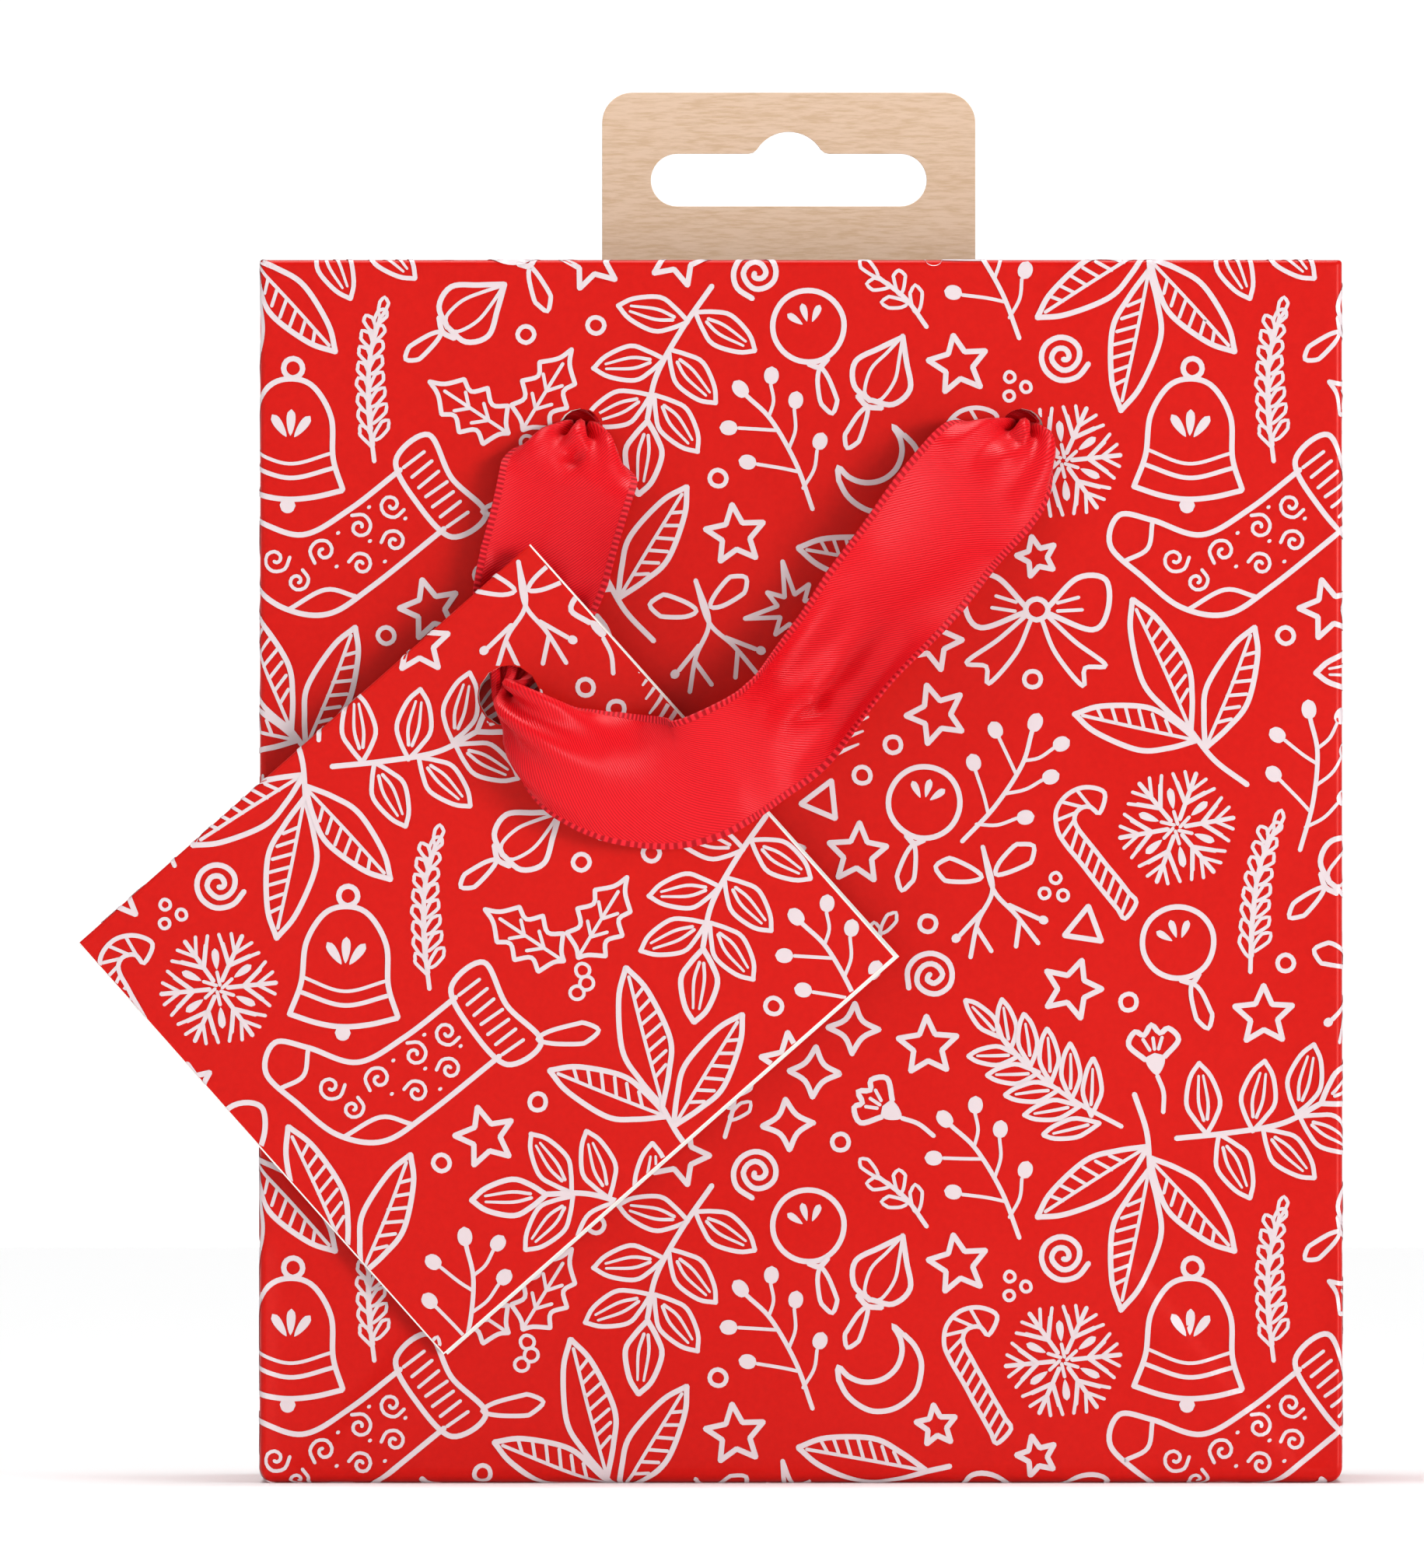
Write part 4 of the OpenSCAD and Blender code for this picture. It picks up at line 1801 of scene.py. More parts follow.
@dataclass
class PrintedSheet:
    """The one printed sheet that makes the bag's walls and hem, with its print."""

    finishes: Finishes
    tile: PrintTile
    surface: BagSurface = field(default_factory=BagSurface)

    def _holes(self) -> list[Pair]:
        """Centres of the handle holes on the flat sheet.

        Returns:
            Flat coordinates of each hole, walls first and then hems.
        """
        middles = (BAG_WIDTH / 2, BAG_WIDTH * 1.5 + BAG_DEPTH)
        levels = (HOLE_Z, BagSurface.T_HEM_HOLE)
        return [(m + side * HOLE_SIDE, t) for m in middles for side in (-1, 1) for t in levels]

    def _lines(self) -> tuple[np.ndarray, np.ndarray]:
        """Grid lines of the sheet, finer at folds, creases and holes.

        Returns:
            The s values round the bag and the t values up.
        """
        ring = [-6.0, -4.6, -3.4, -2.5, -1.25, 0.0, 1.25, 2.5, 3.4, 4.6, 6.0]
        middle = BAG_WIDTH / 2
        fold = BagSurface.CORNER
        left = [middle - HOLE_SIDE + d for d in ring]
        right = [middle + HOLE_SIDE + d for d in ring]
        bowed = 29
        wall = steps([0, fold], 0.2)[:-1] + steps([fold, bowed], 0.85)[:-1]
        wall += steps([bowed] + left + right + [BAG_WIDTH - bowed], 2.5)
        wall += steps([BAG_WIDTH - bowed, BAG_WIDTH - fold], 0.85)[1:]
        wall += steps([BAG_WIDTH - fold, BAG_WIDTH], 0.2)[1:]
        centre = BAG_DEPTH / 2
        side = steps([0, fold], 0.2)[:-1]
        crease = [centre + d for d in (-1.2, -0.4, 0.0, 0.4, 1.2)]
        side += steps([fold] + crease + [BAG_DEPTH - fold], 0.9)
        side += steps([BAG_DEPTH - fold, BAG_DEPTH], 0.2)[1:]
        s = [start + v for start, part in zip(BagSurface.STARTS, (wall, side, wall, side)) for v in part[:-1]]
        holes = [HOLE_Z + d for d in ring]
        hem_holes = [BagSurface.T_HEM_HOLE + d for d in ring]
        t = steps([BagSurface.T_LOW, BagSurface.BOTTOM], 0.35)[:-1] + steps([BagSurface.BOTTOM, 30], 0.8)[:-1]
        t += steps([30] + holes + [139.2], 2.5)[:-1] + steps([139.2, 141.6], 0.2)[:-1]
        t += steps([141.6] + hem_holes + [BagSurface.T_HIGH], 2.5)
        return np.array(s), np.array(t)

    def build_sheet(self) -> bpy.types.Object:
        """Builds the folded sheet with its handle holes.

        Returns:
            The sheet.
        """
        s, t = self._lines()
        grid_s, grid_t = (g.copy() for g in np.meshgrid(s, t, indexing="ij"))
        next_s = np.append(s[1:], s[0] + PERIMETER)
        cell_s, cell_t = np.meshgrid((s + next_s) / 2, (t[1:] + t[:-1]) / 2, indexing="ij")
        cells = (cell_s, cell_t)
        grid_s, grid_t, keep = open_holes((grid_s, grid_t), cells, self._holes(), HOLE_RADIUS, HOLE_REACH)
        outer = self.surface.at(grid_s, grid_t)
        inner = outer - self.surface.normals(grid_s, grid_t) * PAPER
        faces, kinds = shell_faces(keep, wrap=True)
        points = np.vstack([outer.reshape(-1, 3), inner.reshape(-1, 3)])
        sheet = add_mesh("bag_sheet", points, faces, [self.finishes.red, self.finishes.core], kinds)
        walls = ("front_panel", "back_panel", "left_gusset", "right_gusset")
        hems = ("front_hem", "back_hem", "left_hem", "right_hem")
        return settle(sheet, "bag", walls + hems)

    def build_print(self) -> None:
        """Lays the drawings on each wall and its hem."""
        x, y = BAG_WIDTH, BAG_DEPTH
        low, high = BagSurface.T_LOW + PRINT_GAP, BagSurface.T_HIGH - PRINT_GAP
        half = PERIMETER / 2
        holes = [((u + half) % PERIMETER - half, v, HOLE_RADIUS + PRINT_GAP) for u, v in self._holes()]
        spans = {"front": (0.0, x), "right": (x, x + y), "back": (-x - y, -y), "left": (-y, 0.0)}
        for wall, (first, last) in spans.items():
            own = tuple(hole for hole in holes if first < hole[0] < last)
            region = Region((first, low), (last, high), own)
            strokes = self.tile.strokes_in(region.low, region.high, 0.0, BAG_PRINT_SHIFT)
            ink = print_ink(f"bag_print_{wall}", self.surface, region, strokes, self.finishes.white)
            settle(ink, "bag")

    def build_seam(self) -> None:
        """Builds the strip that laps the right gusset from inside."""
        start, end, foot, gap = 165.5, 177.4, 2.2, 0.03
        s = np.linspace(start, end, 13)
        t = np.linspace(foot, BAG_HEIGHT - HEM_DEPTH - 0.2, 110)
        grid_s, grid_t = np.meshgrid(s, t, indexing="ij")
        near = self.surface.place(grid_s, grid_t, np.full(grid_s.shape, -PAPER - gap))
        far = self.surface.place(grid_s, grid_t, np.full(grid_s.shape, -2 * PAPER - gap))
        faces, _ = shell_faces(np.ones((len(s) - 1, len(t) - 1), bool), wrap=False)
        points = np.vstack([near.reshape(-1, 3), far.reshape(-1, 3)])
        seam = add_mesh("side_seam_strip", points, faces, [self.finishes.core])
        settle(seam, "bag", ("seam_flap",))


@dataclass
class BaseFolds:
    """The four flaps glued over each other as the bag's base."""

    finishes: Finishes

    def _plate(self, name: str, outline: Sequence[Pair], along_x: bool, low: float, high: float) -> None:
        """Builds one flap as a prism.

        Args:
            name: Name of the piece, of which the CAD node is the same.
            outline: Its outline, in Y and Z if it runs along X, otherwise in X and Y.
            along_x: Whether the prism runs along X instead of Z.
            low: Where the prism starts.
            high: Where it ends.
        """
        count = len(outline)
        points = []
        for level in (low, high):
            for a, b in outline:
                points.append((level, a, b) if along_x else (a, b, level))
        faces = [tuple(range(count))[::-1], tuple(range(count, 2 * count))]
        for k in range(count):
            n = (k + 1) % count
            faces.append((k, n, count + n, count + k))
        kinds = [0] + [1] * (len(faces) - 1)
        if along_x:
            kinds = [1, 1] + [0 if outline[k][1] <= 0.06 else 1 for k in range(count)]
        papers = [self.finishes.red, self.finishes.core]
        plate = add_mesh(name + "_fold", np.array(points), faces, papers, kinds, smooth=False)
        settle(plate, "bag", (name,))

    def build(self) -> None:
        """Builds the flaps."""
        edge = BAG_DEPTH / 2 - BagSurface.BOTTOM
        half = BAG_WIDTH / 2 - BagSurface.BOTTOM
        lap, butt, rise = 8.0, 8.2, 8.5
        tip, taper = 42.0, 18.0
        front = [(-edge, 0.0), (lap, 0.0), (lap, PAPER), (-edge, PAPER)]
        self._plate("bottom_front_flap", front, True, -half, half)
        back = [(edge, 0.0), (edge, PAPER), (rise, PAPER), (rise, 2 * PAPER)]
        back += [(-lap, 2 * PAPER), (-lap, PAPER), (butt, PAPER), (butt, 0.0)]
        self._plate("bottom_back_flap", back, True, -half, half)
        for name, side in (("bottom_left_flap", -1), ("bottom_right_flap", 1)):
            corners = ((half, -edge), (half, edge), (tip, edge - taper), (tip, taper - edge))
            outline = [(side * x, y) for x, y in corners]
            self._plate(name, outline if side > 0 else outline[::-1], False, 2 * PAPER, 3 * PAPER)


# ---- The ribbons ----


@dataclass(frozen=True)
class Station:
    """The ribbon at one place of its route.

    x and drop are its place across the panel and over the handle holes, out its distance in
    front of the panel. curl is how far the ribbon rolls towards its shiny side, in radians from
    edge to edge, and width what its gathering leaves of its width. tilt turns it about its
    route, and turn is the direction of its width, both in degrees.
    """

    x: float
    out: float
    drop: float
    width: float
    curl: float
    tilt: float
    turn: float


FRONT_STATIONS = (
    Station(-25.3, -5.0, 0.0, 3.4, -0.4, 0, -4),
    Station(-25.3, -2.4, 0.0, 3.4, -0.5, 0, -4),
    Station(-25.3, 0.2, 0.1, 3.8, -0.8, 0, -4),
    Station(-25.4, 1.3, -0.4, 8.8, -1.6, 0, -5),
    Station(-25.7, 2.5, -1.2, 12.4, -1.7, 0, -5),
    Station(-26.2, 3.6, -3.2, 15.2, -1.0, 2, -7),
    Station(-26.8, 4.2, -6.2, 15.9, 0.4, 8, -9),
    Station(-27.8, 4.4, -10.4, 15.9, 0.9, 10, -11),
    Station(-29.2, 4.4, -15.6, 15.9, 0.9, 10, -13),
    Station(-30.9, 4.1, -20.6, 14.2, 0.5, 6, -12),
    Station(-32.4, 3.9, -25.0, 10.0, -0.4, 0, -4),
    Station(-33.2, 4.0, -28.4, 5.2, -0.8, 0, 14),
    Station(-33.4, 5.4, -30.2, 3.8, -0.8, 0, 40),
    Station(-33.4, 7.6, -30.6, 3.8, -1.0, 0, 66),
    Station(-33.5, 9.8, -31.2, 6.6, -2.2, 0, 90),
    Station(-32.6, 11.6, -32.6, 10.4, -2.8, 0, 100),
    Station(-30.4, 12.7, -34.8, 13.6, -2.7, 0, 102),
    Station(-27.2, 12.9, -37.2, 15.4, -2.2, 2, 98),
    Station(-23.0, 12.2, -39.2, 15.9, -1.6, 6, 94),
    Station(-18.4, 11.5, -40.4, 15.9, -0.8, 14, 94),
    Station(-13.2, 11.4, -40.2, 15.9, 0.2, 22, 103),
    Station(-8.2, 11.9, -37.9, 15.9, 0.6, 28, 118),
    Station(-3.8, 10.2, -34.8, 15.9, 0.9, 30, 126),
    Station(0.4, 8.0, -31.0, 15.2, 1.6, 4, 132),
    Station(4.8, 7.6, -26.2, 15.4, 1.6, -14, 138),
    Station(8.9, 7.2, -20.8, 15.9, 1.4, -10, 141),
    Station(12.6, 6.7, -15.9, 15.9, 1.1, 2, 142),
    Station(16.4, 5.8, -10.6, 15.9, 0.7, 8, 144),
    Station(20.0, 5.0, -6.6, 15.9, 0.0, 8, 146),
    Station(22.8, 4.3, -3.6, 15.2, -0.8, 4, 150),
    Station(24.6, 3.2, -1.4, 13.0, -1.5, 0, 156),
    Station(25.3, 1.8, -0.2, 9.6, -1.6, 0, 164),
    Station(25.3, 0.4, 0.1, 4.6, -0.9, 0, 168),
    Station(25.3, -2.4, 0.0, 3.4, -0.5, 0, 172),
    Station(25.3, -5.0, 0.0, 3.4, -0.4, 0, 172),
)
# The small hollows and swellings of the loose ribbon: x, z, radius and depth in mm.
FRONT_DENTS = (
    (-26.2, 117.6, 1.5, 2.4),
    (24.4, 119.4, 1.4, 2.2),
    (1.8, 89.2, 1.3, 1.0),
    (4.5, 93.5, 2.6, 0.5),
    (-9.5, 82.5, 4.0, -0.4),
)


BACK_HALF = (
    Station(-25.3, -5.0, 0.0, 3.4, -0.4, 0, 0),
    Station(-25.3, -2.4, 0.0, 3.4, -0.5, 0, 0),
    Station(-25.3, 0.2, 0.1, 3.8, -0.8, 0, 0),
    Station(-25.4, 1.3, -0.4, 8.8, -1.6, 0, 0),
    Station(-25.5, 2.5, -1.2, 12.4, -1.7, 0, 0),
    Station(-25.6, 3.6, -3.2, 15.2, -1.0, 0, 1),
    Station(-25.5, 4.3, -6.4, 15.9, 0.1, 0, 2),
    Station(-25.0, 4.7, -12.0, 15.9, 0.9, 0, 5),
    Station(-23.8, 5.4, -20.0, 15.9, 0.8, 4, 12),
    Station(-21.6, 6.4, -28.0, 15.9, 0.7, 10, 22),
    Station(-17.8, 7.2, -35.5, 15.9, 0.8, 16, 38),
    Station(-12.0, 7.8, -42.0, 15.9, 0.9, 20, 58),
    Station(-5.0, 8.2, -45.8, 15.9, 1.0, 22, 78),
)
BACK_DENTS = ((25.0, 117.8, 1.5, 2.0), (-25.0, 117.8, 1.5, 2.0))


def mirrored(station: Station) -> Station:
    """The same place on the other half of a symmetrical handle.

    Args:
        station: A place on the first half.

    Returns:
        The place on the second half.
    """
    return Station(
        -station.x, station.out, station.drop, station.width, station.curl, station.tilt, 180 - station.turn
    )


BACK_STATIONS = (
    BACK_HALF + (Station(0.0, 8.3, -46.4, 15.9, 1.0, 22, 90),) + tuple(mirrored(s) for s in BACK_HALF[::-1])
)


@dataclass
class RibbonHandle:
    """One satin ribbon: the loop outside, gathered in its two holes, and the knots inside."""

    side: Side
    stations: Sequence[Station]
    finishes: Finishes
    dents: Sequence[tuple[float, float, float, float]] = ()
    columns: int = 32
    pleats: int = 3
    knot_depth: float = 21.2
    tail_length: float = 12.5

    def _place(self, spots: np.ndarray) -> np.ndarray:
        """Turns x, distance out and drop into the row frame.

        Args:
            spots: One place a row.

        Returns:
            The points.
        """
        sign = self.side.value
        return np.stack(
            [-sign * spots[:, 0], sign * (BAG_DEPTH / 2 + spots[:, 1]), HOLE_Z + spots[:, 2]], axis=1
        )

    def _section(self, width: float, curl: float) -> np.ndarray:
        """The ribbon cut across: rolled by an arc and gathered into even pleats.

        Args:
            width: What its gathering leaves of the width.
            curl: Roll from edge to edge, in radians.

        Returns:
            Offsets along the width and towards the shiny side, about their own middle.
        """
        q = np.linspace(-0.5, 0.5, self.columns * 4 + 1)
        swings = np.linspace(0, 2.2, 60)
        gathers = np.sin(2 * math.pi * self.pleats * q)
        shares = np.cos(swings[:, None] * gathers[None, :]).mean(axis=1)
        share = np.clip(width / RIBBON_WIDTH, shares[-1], 1.0)
        swing = math.copysign(float(np.interp(-share, -shares, swings)), curl) * min(1.0, abs(curl) / 0.3)
        angle = curl * q + swing * gathers
        step = RIBBON_WIDTH / (self.columns * 4)
        middle = (angle[1:] + angle[:-1]) / 2
        x = np.concatenate([[0], np.cumsum(np.cos(middle))]) * step
        y = np.concatenate([[0], np.cumsum(np.sin(middle))]) * step
        x -= x.mean()
        y -= y.mean()
        return np.stack([x, y], axis=1)[::4]

    def build_loop(self) -> bpy.types.Object:
        """Builds the ribbon from inside one hole round the loop into the other.

        Returns:
            The ribbon.
        """
        table = np.array([(s.x, s.out, s.drop, s.width, s.curl, s.tilt, s.turn) for s in self.stations])
        smooth = self._resampled(table, 0.7)
        centres = self._place(smooth[:, :3])
        ahead = np.gradient(centres, axis=0)
        ahead /= np.linalg.norm(ahead, axis=1, keepdims=True)
        sign = self.side.value
        turn = np.radians(smooth[:, 6])
        wide = np.stack([-sign * np.cos(turn), np.zeros(len(turn)), np.sin(turn)], axis=1)
        wide -= ahead * (wide * ahead).sum(axis=1, keepdims=True)
        wide /= np.linalg.norm(wide, axis=1, keepdims=True)
        out = np.cross(ahead, wide)
        tilt = np.radians(smooth[:, 5])[:, None]
        across = wide * np.cos(tilt) + out * np.sin(tilt)
        face = out * np.cos(tilt) - wide * np.sin(tilt)
        rings = []
        for k, centre in enumerate(centres):
            section = self._section(float(smooth[k, 3]), float(smooth[k, 4]))
            rings.append(centre + section[:, :1] * across[k] + section[:, 1:] * face[k])
        grid = np.array(rings).transpose(1, 0, 2)
        for x, z, radius, depth in self.dents:
            away = np.hypot(grid[..., 0] - x, grid[..., 2] - z) / radius
            grid[..., 1] -= sign * depth * np.exp(-(away**2))
        length = float(np.linalg.norm(np.diff(centres, axis=0), axis=1).sum())
        name = f"{self.side.name.lower()}_ribbon_loop"
        loop = self._strip(name, grid, length)
        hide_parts(f"{self.side.name.lower()}_ribbon")
        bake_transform(loop)
        LOG.info("%s: %.1f mm of ribbon, %d faces", name, length, len(loop.data.polygons))
        return loop

    def _resampled(self, table: np.ndarray, step: float) -> np.ndarray:
        """Smooth rows between the stations.

        Args:
            table: One station a row.
            step: Distance between the new rows along the route.

        Returns:
            The rows.
        """
        p = np.vstack([2 * table[0] - table[1], table, 2 * table[-1] - table[-2]])
        return curve_rows(p, step)

    def _strip(self, name: str, grid: np.ndarray, length: float) -> bpy.types.Object:
        """Makes a woven strip with thickness from a grid of its shiny face.

        Args:
            name: Name of the piece.
            grid: Points of the face, columns across by rings along.
            length: Length of the strip.

        Returns:
            The strip, with flat coordinates in mm for its weave.
        """
        columns, rings = grid.shape[:2]
        right = np.gradient(grid, axis=0)
        ahead = np.gradient(grid, axis=1)
        normal = np.cross(ahead, right)
        normal /= np.maximum(np.linalg.norm(normal, axis=2, keepdims=True), 1e-9)
        half = RIBBON_THICKNESS / 2
        outer, inner = grid + normal * half, grid - normal * half
        faces, _ = shell_faces(np.ones((columns - 1, rings - 1), bool), wrap=False)
        faces = [face[::-1] for face in faces]
        points = np.vstack([outer.reshape(-1, 3), inner.reshape(-1, 3)])
        strip = add_mesh(name, points, faces, [self.finishes.satin])
        layer = strip.data.uv_layers.new(name="UVMap")
        vertex = np.zeros(len(strip.data.loops), int)
        strip.data.loops.foreach_get("vertex_index", vertex)
        place = vertex % (columns * rings)
        u = (place // rings) * RIBBON_WIDTH / (columns - 1)
        v = (place % rings) * length / (rings - 1)
        layer.data.foreach_set("uv", np.stack([u, v], axis=1).ravel())
        return strip

    def build_knot(self, hole: int) -> None:
        """Builds the knot inside one hole, with the ribbon's cut end standing up from it.

        Args:
            hole: -1 for the hole at -X, 1 for the one at +X.
        """
        sign = self.side.value
        centre = np.array([hole * HOLE_SIDE, sign * self.knot_depth, HOLE_Z])
        count, around = 72, 10
        rings = []
        angles = np.linspace(0, 2 * math.pi, count, endpoint=False)

        def knot_line(a: np.ndarray) -> np.ndarray:
            return 1.05 * np.stack(
                [np.sin(a) + 2 * np.sin(2 * a), -1.3 * np.sin(3 * a), np.cos(a) - 2 * np.cos(2 * a)], axis=-1
            )

        for a in angles:
            spot = knot_line(np.array(a))
            ahead = knot_line(np.array(a + 0.01)) - spot
            ahead /= np.linalg.norm(ahead)
            deep = np.cross(ahead, spot)
            deep /= np.linalg.norm(deep)
            wide = np.cross(deep, ahead)
            for k in range(around):
                b = 2 * math.pi * k / around
                fold = 1 + 0.12 * math.cos(3 * b + 2 * a)
                across = wide * 1.2 * fold * math.cos(b)
                along = deep * 0.95 * fold * math.sin(b)
                rings.append(centre + spot + across + along)
        faces: Faces = []
        for i in range(count):
            for k in range(around):
                n, m = (i + 1) % count, (k + 1) % around
                faces.append((i * around + k, i * around + m, n * around + m, n * around + k))
        name = f"{self.side.name.lower()}_{'left' if hole < 0 else 'right'}_knot"
        wrap = add_mesh(f"{name}_wrap", np.array(rings), faces, [self.finishes.satin])
        wrap.data.uv_layers.new(name="UVMap")
        self._wrap_flat(wrap, around)
        settle(wrap, "bag", (name,))
        tail_rings = []
        for k in range(16):
            u = k / 15
            section = self._section(4.2 + 7.0 * u, 0.9)
            spot = centre + np.array([0.5 * hole * u, -sign * (0.6 + 2.6 * u), 2.6 + 12.0 * u])
            side = np.array([math.cos(0.5 * u), 0.0, 0.0]) + np.array([0.0, 0.25 * u, 0.0])
            deep = np.array([0.0, -sign * 1.0, 0.0])
            tail_rings.append(spot + section[:, :1] * side + section[:, 1:] * deep * (0.7 + 0.3 * u))
        grid = np.array(tail_rings).transpose(1, 0, 2)
        tail = self._strip(f"{name}_tail", grid, self.tail_length)
        settle(tail, "bag")

    def _wrap_flat(self, wrap: bpy.types.Object, around: int) -> None:
        """Gives a knot the weave's flat coordinates.

        Args:
            wrap: The knot.
            around: Vertices round its section.
        """
        vertex = np.zeros(len(wrap.data.loops), int)
        wrap.data.loops.foreach_get("vertex_index", vertex)
        u = 1.5 + (vertex % around) * 12.0 / around
        v = (vertex // around) * 0.7
        wrap.data.uv_layers[0].data.foreach_set("uv", np.stack([u, v], axis=1).ravel())

    def build(self) -> None:
        """Builds the ribbon and its knots."""
        self.build_loop()
        for hole in (-1, 1):
            self.build_knot(hole)


# ---- The gift tag ----


@dataclass
class GiftTag:
    """The folded card that hangs on the front ribbon, with its own print."""

    finishes: Finishes
    tile: PrintTile
    surface: TagSurface = field(default_factory=TagSurface)

    def build(self) -> None:
        """Builds the card and its print."""
        ring = [-5.6, -4.7, -3.5, -1.75, 0.0, 1.75, 3.5, 4.7, 5.6]
        sides = [TAG_LEFT, TAG_LEFT + TAG_BORDER] + ring + [TAG_RIGHT - TAG_BORDER, TAG_RIGHT]
        s = np.array(steps(sides, 2.2))
        rear = TagSurface.T_REAR + TAG_TOP - TagSurface.FOLD
        low, high = TAG_BOTTOM, TagSurface.T_HIGH
        fold_low, fold_high = TAG_TOP - 1.0, TAG_TOP + 1.6
        t_stops = steps([low, low + TAG_BORDER] + ring + [fold_low], 2.2)[:-1]
        t_stops += steps([fold_low, fold_high], 0.14)
        t_stops += steps([fold_high] + [rear + d for d in ring] + [high - TAG_BORDER, high], 2.2)[1:]
        t = np.array(t_stops)
        grid_s, grid_t = (g.copy() for g in np.meshgrid(s, t, indexing="ij"))
        cell_s, cell_t = np.meshgrid((s[1:] + s[:-1]) / 2, (t[1:] + t[:-1]) / 2, indexing="ij")
        cells, holes = (cell_s, cell_t), ((0.0, 0.0), (0.0, rear))
        grid_s, grid_t, keep = open_holes((grid_s, grid_t), cells, holes, TAG_HOLE_RADIUS, TAG_HOLE_REACH)
        outer = self.surface.at(grid_s, grid_t)
        inner = outer - self.surface.normals(grid_s, grid_t) * TAG_CARD
        faces, kinds = shell_faces(keep, wrap=False)
        rims = {(0, j) for j in range(keep.shape[1])} | {(keep.shape[0] - 1, j) for j in range(keep.shape[1])}
        rims |= {(i, j) for i in range(keep.shape[0]) for j in (0, keep.shape[1] - 1)}
        rim_faces = set()
        up = keep.shape[1] + 1
        for i, j in rims:
            rim_faces.add(i * up + j)
        kinds = [1 if kind == 0 and face[0] in rim_faces else kind for face, kind in zip(faces, kinds)]
        points = np.vstack([outer.reshape(-1, 3), inner.reshape(-1, 3)])
        card = add_mesh("gift_tag_card", points, faces, [self.finishes.red, self.finishes.core], kinds)
        settle(card, "tag", ("tag_cover", "tag_leaf"))
        region = Region(
            (TAG_LEFT + TAG_TRIM, low + TAG_TRIM),
            (TAG_RIGHT - TAG_TRIM, high - TAG_TRIM),
            tuple((x, y, TAG_HOLE_RADIUS + PRINT_GAP) for x, y in holes),
        )
        strokes = self.tile.strokes_in(region.low, region.high, -TAG_TURN, TAG_PRINT_SHIFT)
        ink = print_ink("gift_tag_print", self.surface, region, strokes, self.finishes.white)
        settle(ink, "tag")


# ---- The hang tab and the boards ----


@dataclass
class HangTab:
    """The kraft card tab with its hanging slot, glued inside the back hem."""

    finishes: Finishes
    width: float = 43.3
    low: float = 126.5
    high: float = 160.2
    centre: float = -1.3
    corner: float = 3.5
    board: float = 0.5
    inset: float = 1.35
    slot_low: float = 147.0
    slot_height: float = 6.1
    slot_length: float = 32.0
    hump_radius: float = 4.35
    hump_sink: float = 1.8

    def _outline(self) -> list[Pair]:
        """The tab's outline.

        Returns:
            Points in X and Z about the tab's middle line.
        """
        ring = []
        r = self.corner
        side, low, high = self.width / 2 - r, self.low + r, self.high - r
        for x, z, start in ((side, high, 0), (-side, high, 90), (-side, low, 180), (side, low, 270)):
            ring += [polar(r, math.radians(start + 10 * k), (x, z)) for k in range(10)]
        return ring

    def _slot(self) -> list[Pair]:
        """The slot with the round hump over its middle.

        Returns:
            Points in X and Z about the tab's middle line.
        """
        r = self.slot_height / 2
        reach = self.slot_length / 2 - r
        middle = self.slot_low + r
        top = self.slot_low + self.slot_height
        hump_z = top - self.hump_sink
        start = math.asin((self.hump_sink + 0.5) / self.hump_radius)
        ease = self.hump_radius * math.cos(start)
        ring = [polar(r, math.radians(a), (reach, middle)) for a in range(-90, 91, 10)]
        ring += [(ease + 1.0, top), (ease + 0.45, top + 0.12)]
        ring += [
            polar(self.hump_radius, start + (math.pi - 2 * start) * k / 16, (0.0, hump_z)) for k in range(17)
        ]
        ring += [(-ease - 0.45, top + 0.12), (-ease - 1.0, top)]
        ring += [polar(r, math.radians(a), (-reach, middle)) for a in range(90, 271, 10)]
        return ring

    def build(self) -> None:
        """Builds the tab."""
        curve = bpy.data.curves.new("hang_tab_outline", "CURVE")
        curve.dimensions = "2D"
        curve.fill_mode = "BOTH"
        bevel = 0.05
        curve.extrude = (self.board / 2 - bevel) * MM
        curve.bevel_depth = bevel * MM
        curve.bevel_resolution = 1
        curve.offset = -bevel * MM
        for ring in (self._outline(), self._slot()):
            spline = curve.splines.new("POLY")
            spline.points.add(len(ring) - 1)
            for point, (x, z) in zip(spline.points, ring):
                point.co = (x * MM, z * MM, 0.0, 1.0)
            spline.use_cyclic_u = True
        shape = bpy.data.objects.new("hang_tab_outline", curve)
        bpy.context.scene.collection.objects.link(shape)
        bpy.context.view_layer.update()
        mesh = bpy.data.meshes.new_from_object(shape.evaluated_get(bpy.context.evaluated_depsgraph_get()))
        bpy.data.objects.remove(shape)
        bpy.data.curves.remove(curve)
        y = BAG_DEPTH / 2 - self.inset - self.board / 2
        place = Matrix.Translation(Vector((self.centre, y, 0.0)) * MM) @ Matrix.Rotation(math.pi / 2, 4, "X")
        mesh.transform(place)
        mesh.name = "hang_tab_card"
        mesh.materials.clear()
        mesh.materials.append(self.finishes.kraft)
        card = bpy.data.objects.new("hang_tab_card", mesh)
        bpy.context.scene.collection.objects.link(card)
        settle(card, "bag", ("hang_tab",))


@dataclass
class InnerBoards:
    """The stiffeners, the base card and the tape, kept as they were designed."""

    finishes: Finishes

    def build(self) -> None:
        """Gives the kept parts their finishes."""
        boards = ("front_stiffener", "back_stiffener", "bottom_card")
        for name in boards + ("tab_tape",):
            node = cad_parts[name]
            node.data.materials.clear()
            node.data.materials.append(self.finishes.board if name in boards else self.finishes.tape)
            LOG.info("%s: finish %s", name, node.data.materials[0].name)


# ---- Studio ----


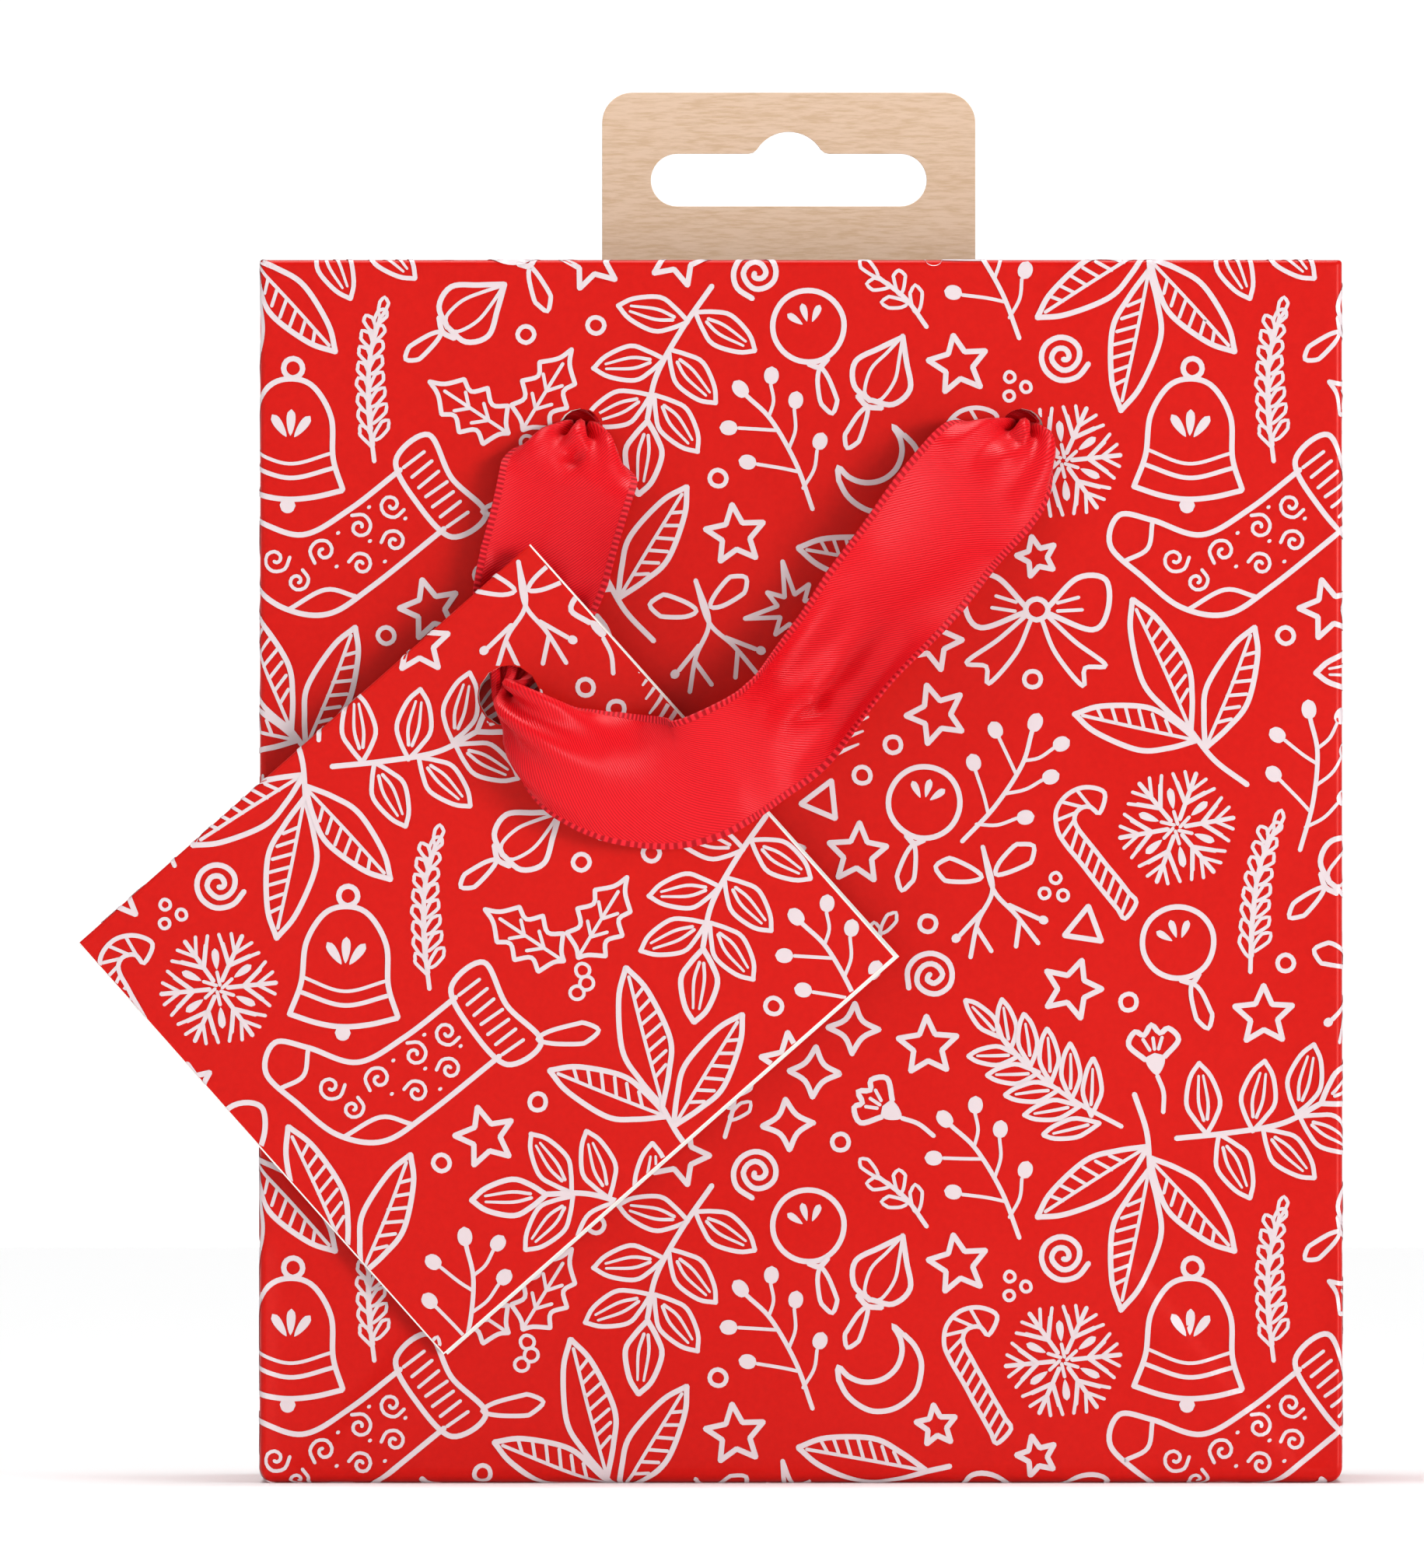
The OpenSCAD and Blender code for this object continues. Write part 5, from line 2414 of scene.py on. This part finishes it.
@dataclass
class Studio:
    """Floor, light and camera for a straight view of the bag's front."""

    reach: float = 3.99
    lens: float = 800.0
    horizon: float = 1.1
    sky: float = 0.22
    top: float = 2.75
    key: float = 28.0
    fill: float = 3.5

    def _light(self, name: str, place: Triple, size: float, power: float) -> None:
        """Adds a soft light aimed at the bag.

        Args:
            name: Its name.
            place: Where it is, in metres.
            size: Side of its square, in metres.
            power: Watts.
        """
        lamp = bpy.data.lights.new(name, "AREA")
        lamp.shape = "SQUARE"
        lamp.size = size
        lamp.energy = power
        light = bpy.data.objects.new(name, lamp)
        light.location = place
        aim = Vector((0.0, -0.02, 0.075)) - Vector(place)
        light.rotation_euler = aim.to_track_quat("-Z", "Y").to_euler()
        light.visible_camera = False
        bpy.context.scene.collection.objects.link(light)

    def build(self) -> None:
        """Builds the studio."""
        half, drop = 2000.0, 0.05
        corners = ((-half, -half), (half, -half), (half, half), (-half, half))
        points = np.array([(x, y, -drop) for x, y in corners])
        floor = add_mesh("studio_floor", points, [(0, 1, 2, 3)], [StudioPaper().build()], smooth=False)
        scene = bpy.context.scene
        scene.world = bpy.data.worlds.new("studio_white")
        scene.world.use_nodes = True
        tree = scene.world.node_tree
        way = add_node(tree, "ShaderNodeTexCoord").outputs["Generated"]
        rise = add_node(tree, "ShaderNodeSeparateXYZ", {0: way}).outputs[2]
        steep = add_node(tree, "ShaderNodeMath", {0: rise}, operation="ABSOLUTE").outputs[0]
        glow = add_node(
            tree,
            "ShaderNodeMapRange",
            {"Value": steep, "From Min": 0.06, "From Max": 0.2, "To Min": self.horizon, "To Max": self.sky},
        )
        tree.links.new(glow.outputs[0], tree.nodes["Background"].inputs["Strength"])
        tree.nodes["Background"].inputs["Color"].default_value = linear("#FFFFFF")
        self._light("key_low_right", (1.0, -1.3, 0.06), 0.75, self.key)
        self._light("fill_left", (-0.9, -1.1, 0.7), 0.8, self.fill)
        sun = bpy.data.lights.new("top_light", "SUN")
        sun.energy = self.top
        sun.angle = math.radians(30)
        bpy.context.scene.collection.objects.link(bpy.data.objects.new("top_light", sun))
        camera = bpy.data.objects.new("camera", bpy.data.cameras.new("camera"))
        camera.data.lens = self.lens
        camera.data.clip_end = 60.0
        camera.location = (-0.0102, -0.027 - self.reach, 0.080)
        camera.rotation_euler = (math.pi / 2, 0.0, 0.0)
        scene.collection.objects.link(camera)
        scene.camera = camera
        scene.view_settings.view_transform = "Standard"
        LOG.info("studio: floor, three lights, camera with a %.0f mm lens", self.lens)


def main() -> None:
    """Builds the whole model on the CAD frame, in order."""
    logging.basicConfig(level=logging.INFO, format="%(message)s")
    finishes = Finishes.build()
    tile = PrintTile(PLANS, seed=20)
    sheet = PrintedSheet(finishes, tile)
    sheet.build_sheet()
    sheet.build_seam()
    BaseFolds(finishes).build()
    InnerBoards(finishes).build()
    HangTab(finishes).build()
    sheet.build_print()
    RibbonHandle(Side.FRONT, FRONT_STATIONS, finishes, FRONT_DENTS).build()
    RibbonHandle(Side.BACK, BACK_STATIONS, finishes, BACK_DENTS).build()
    GiftTag(finishes, tile).build()
    Studio().build()


if __name__ == "__main__":
    main()
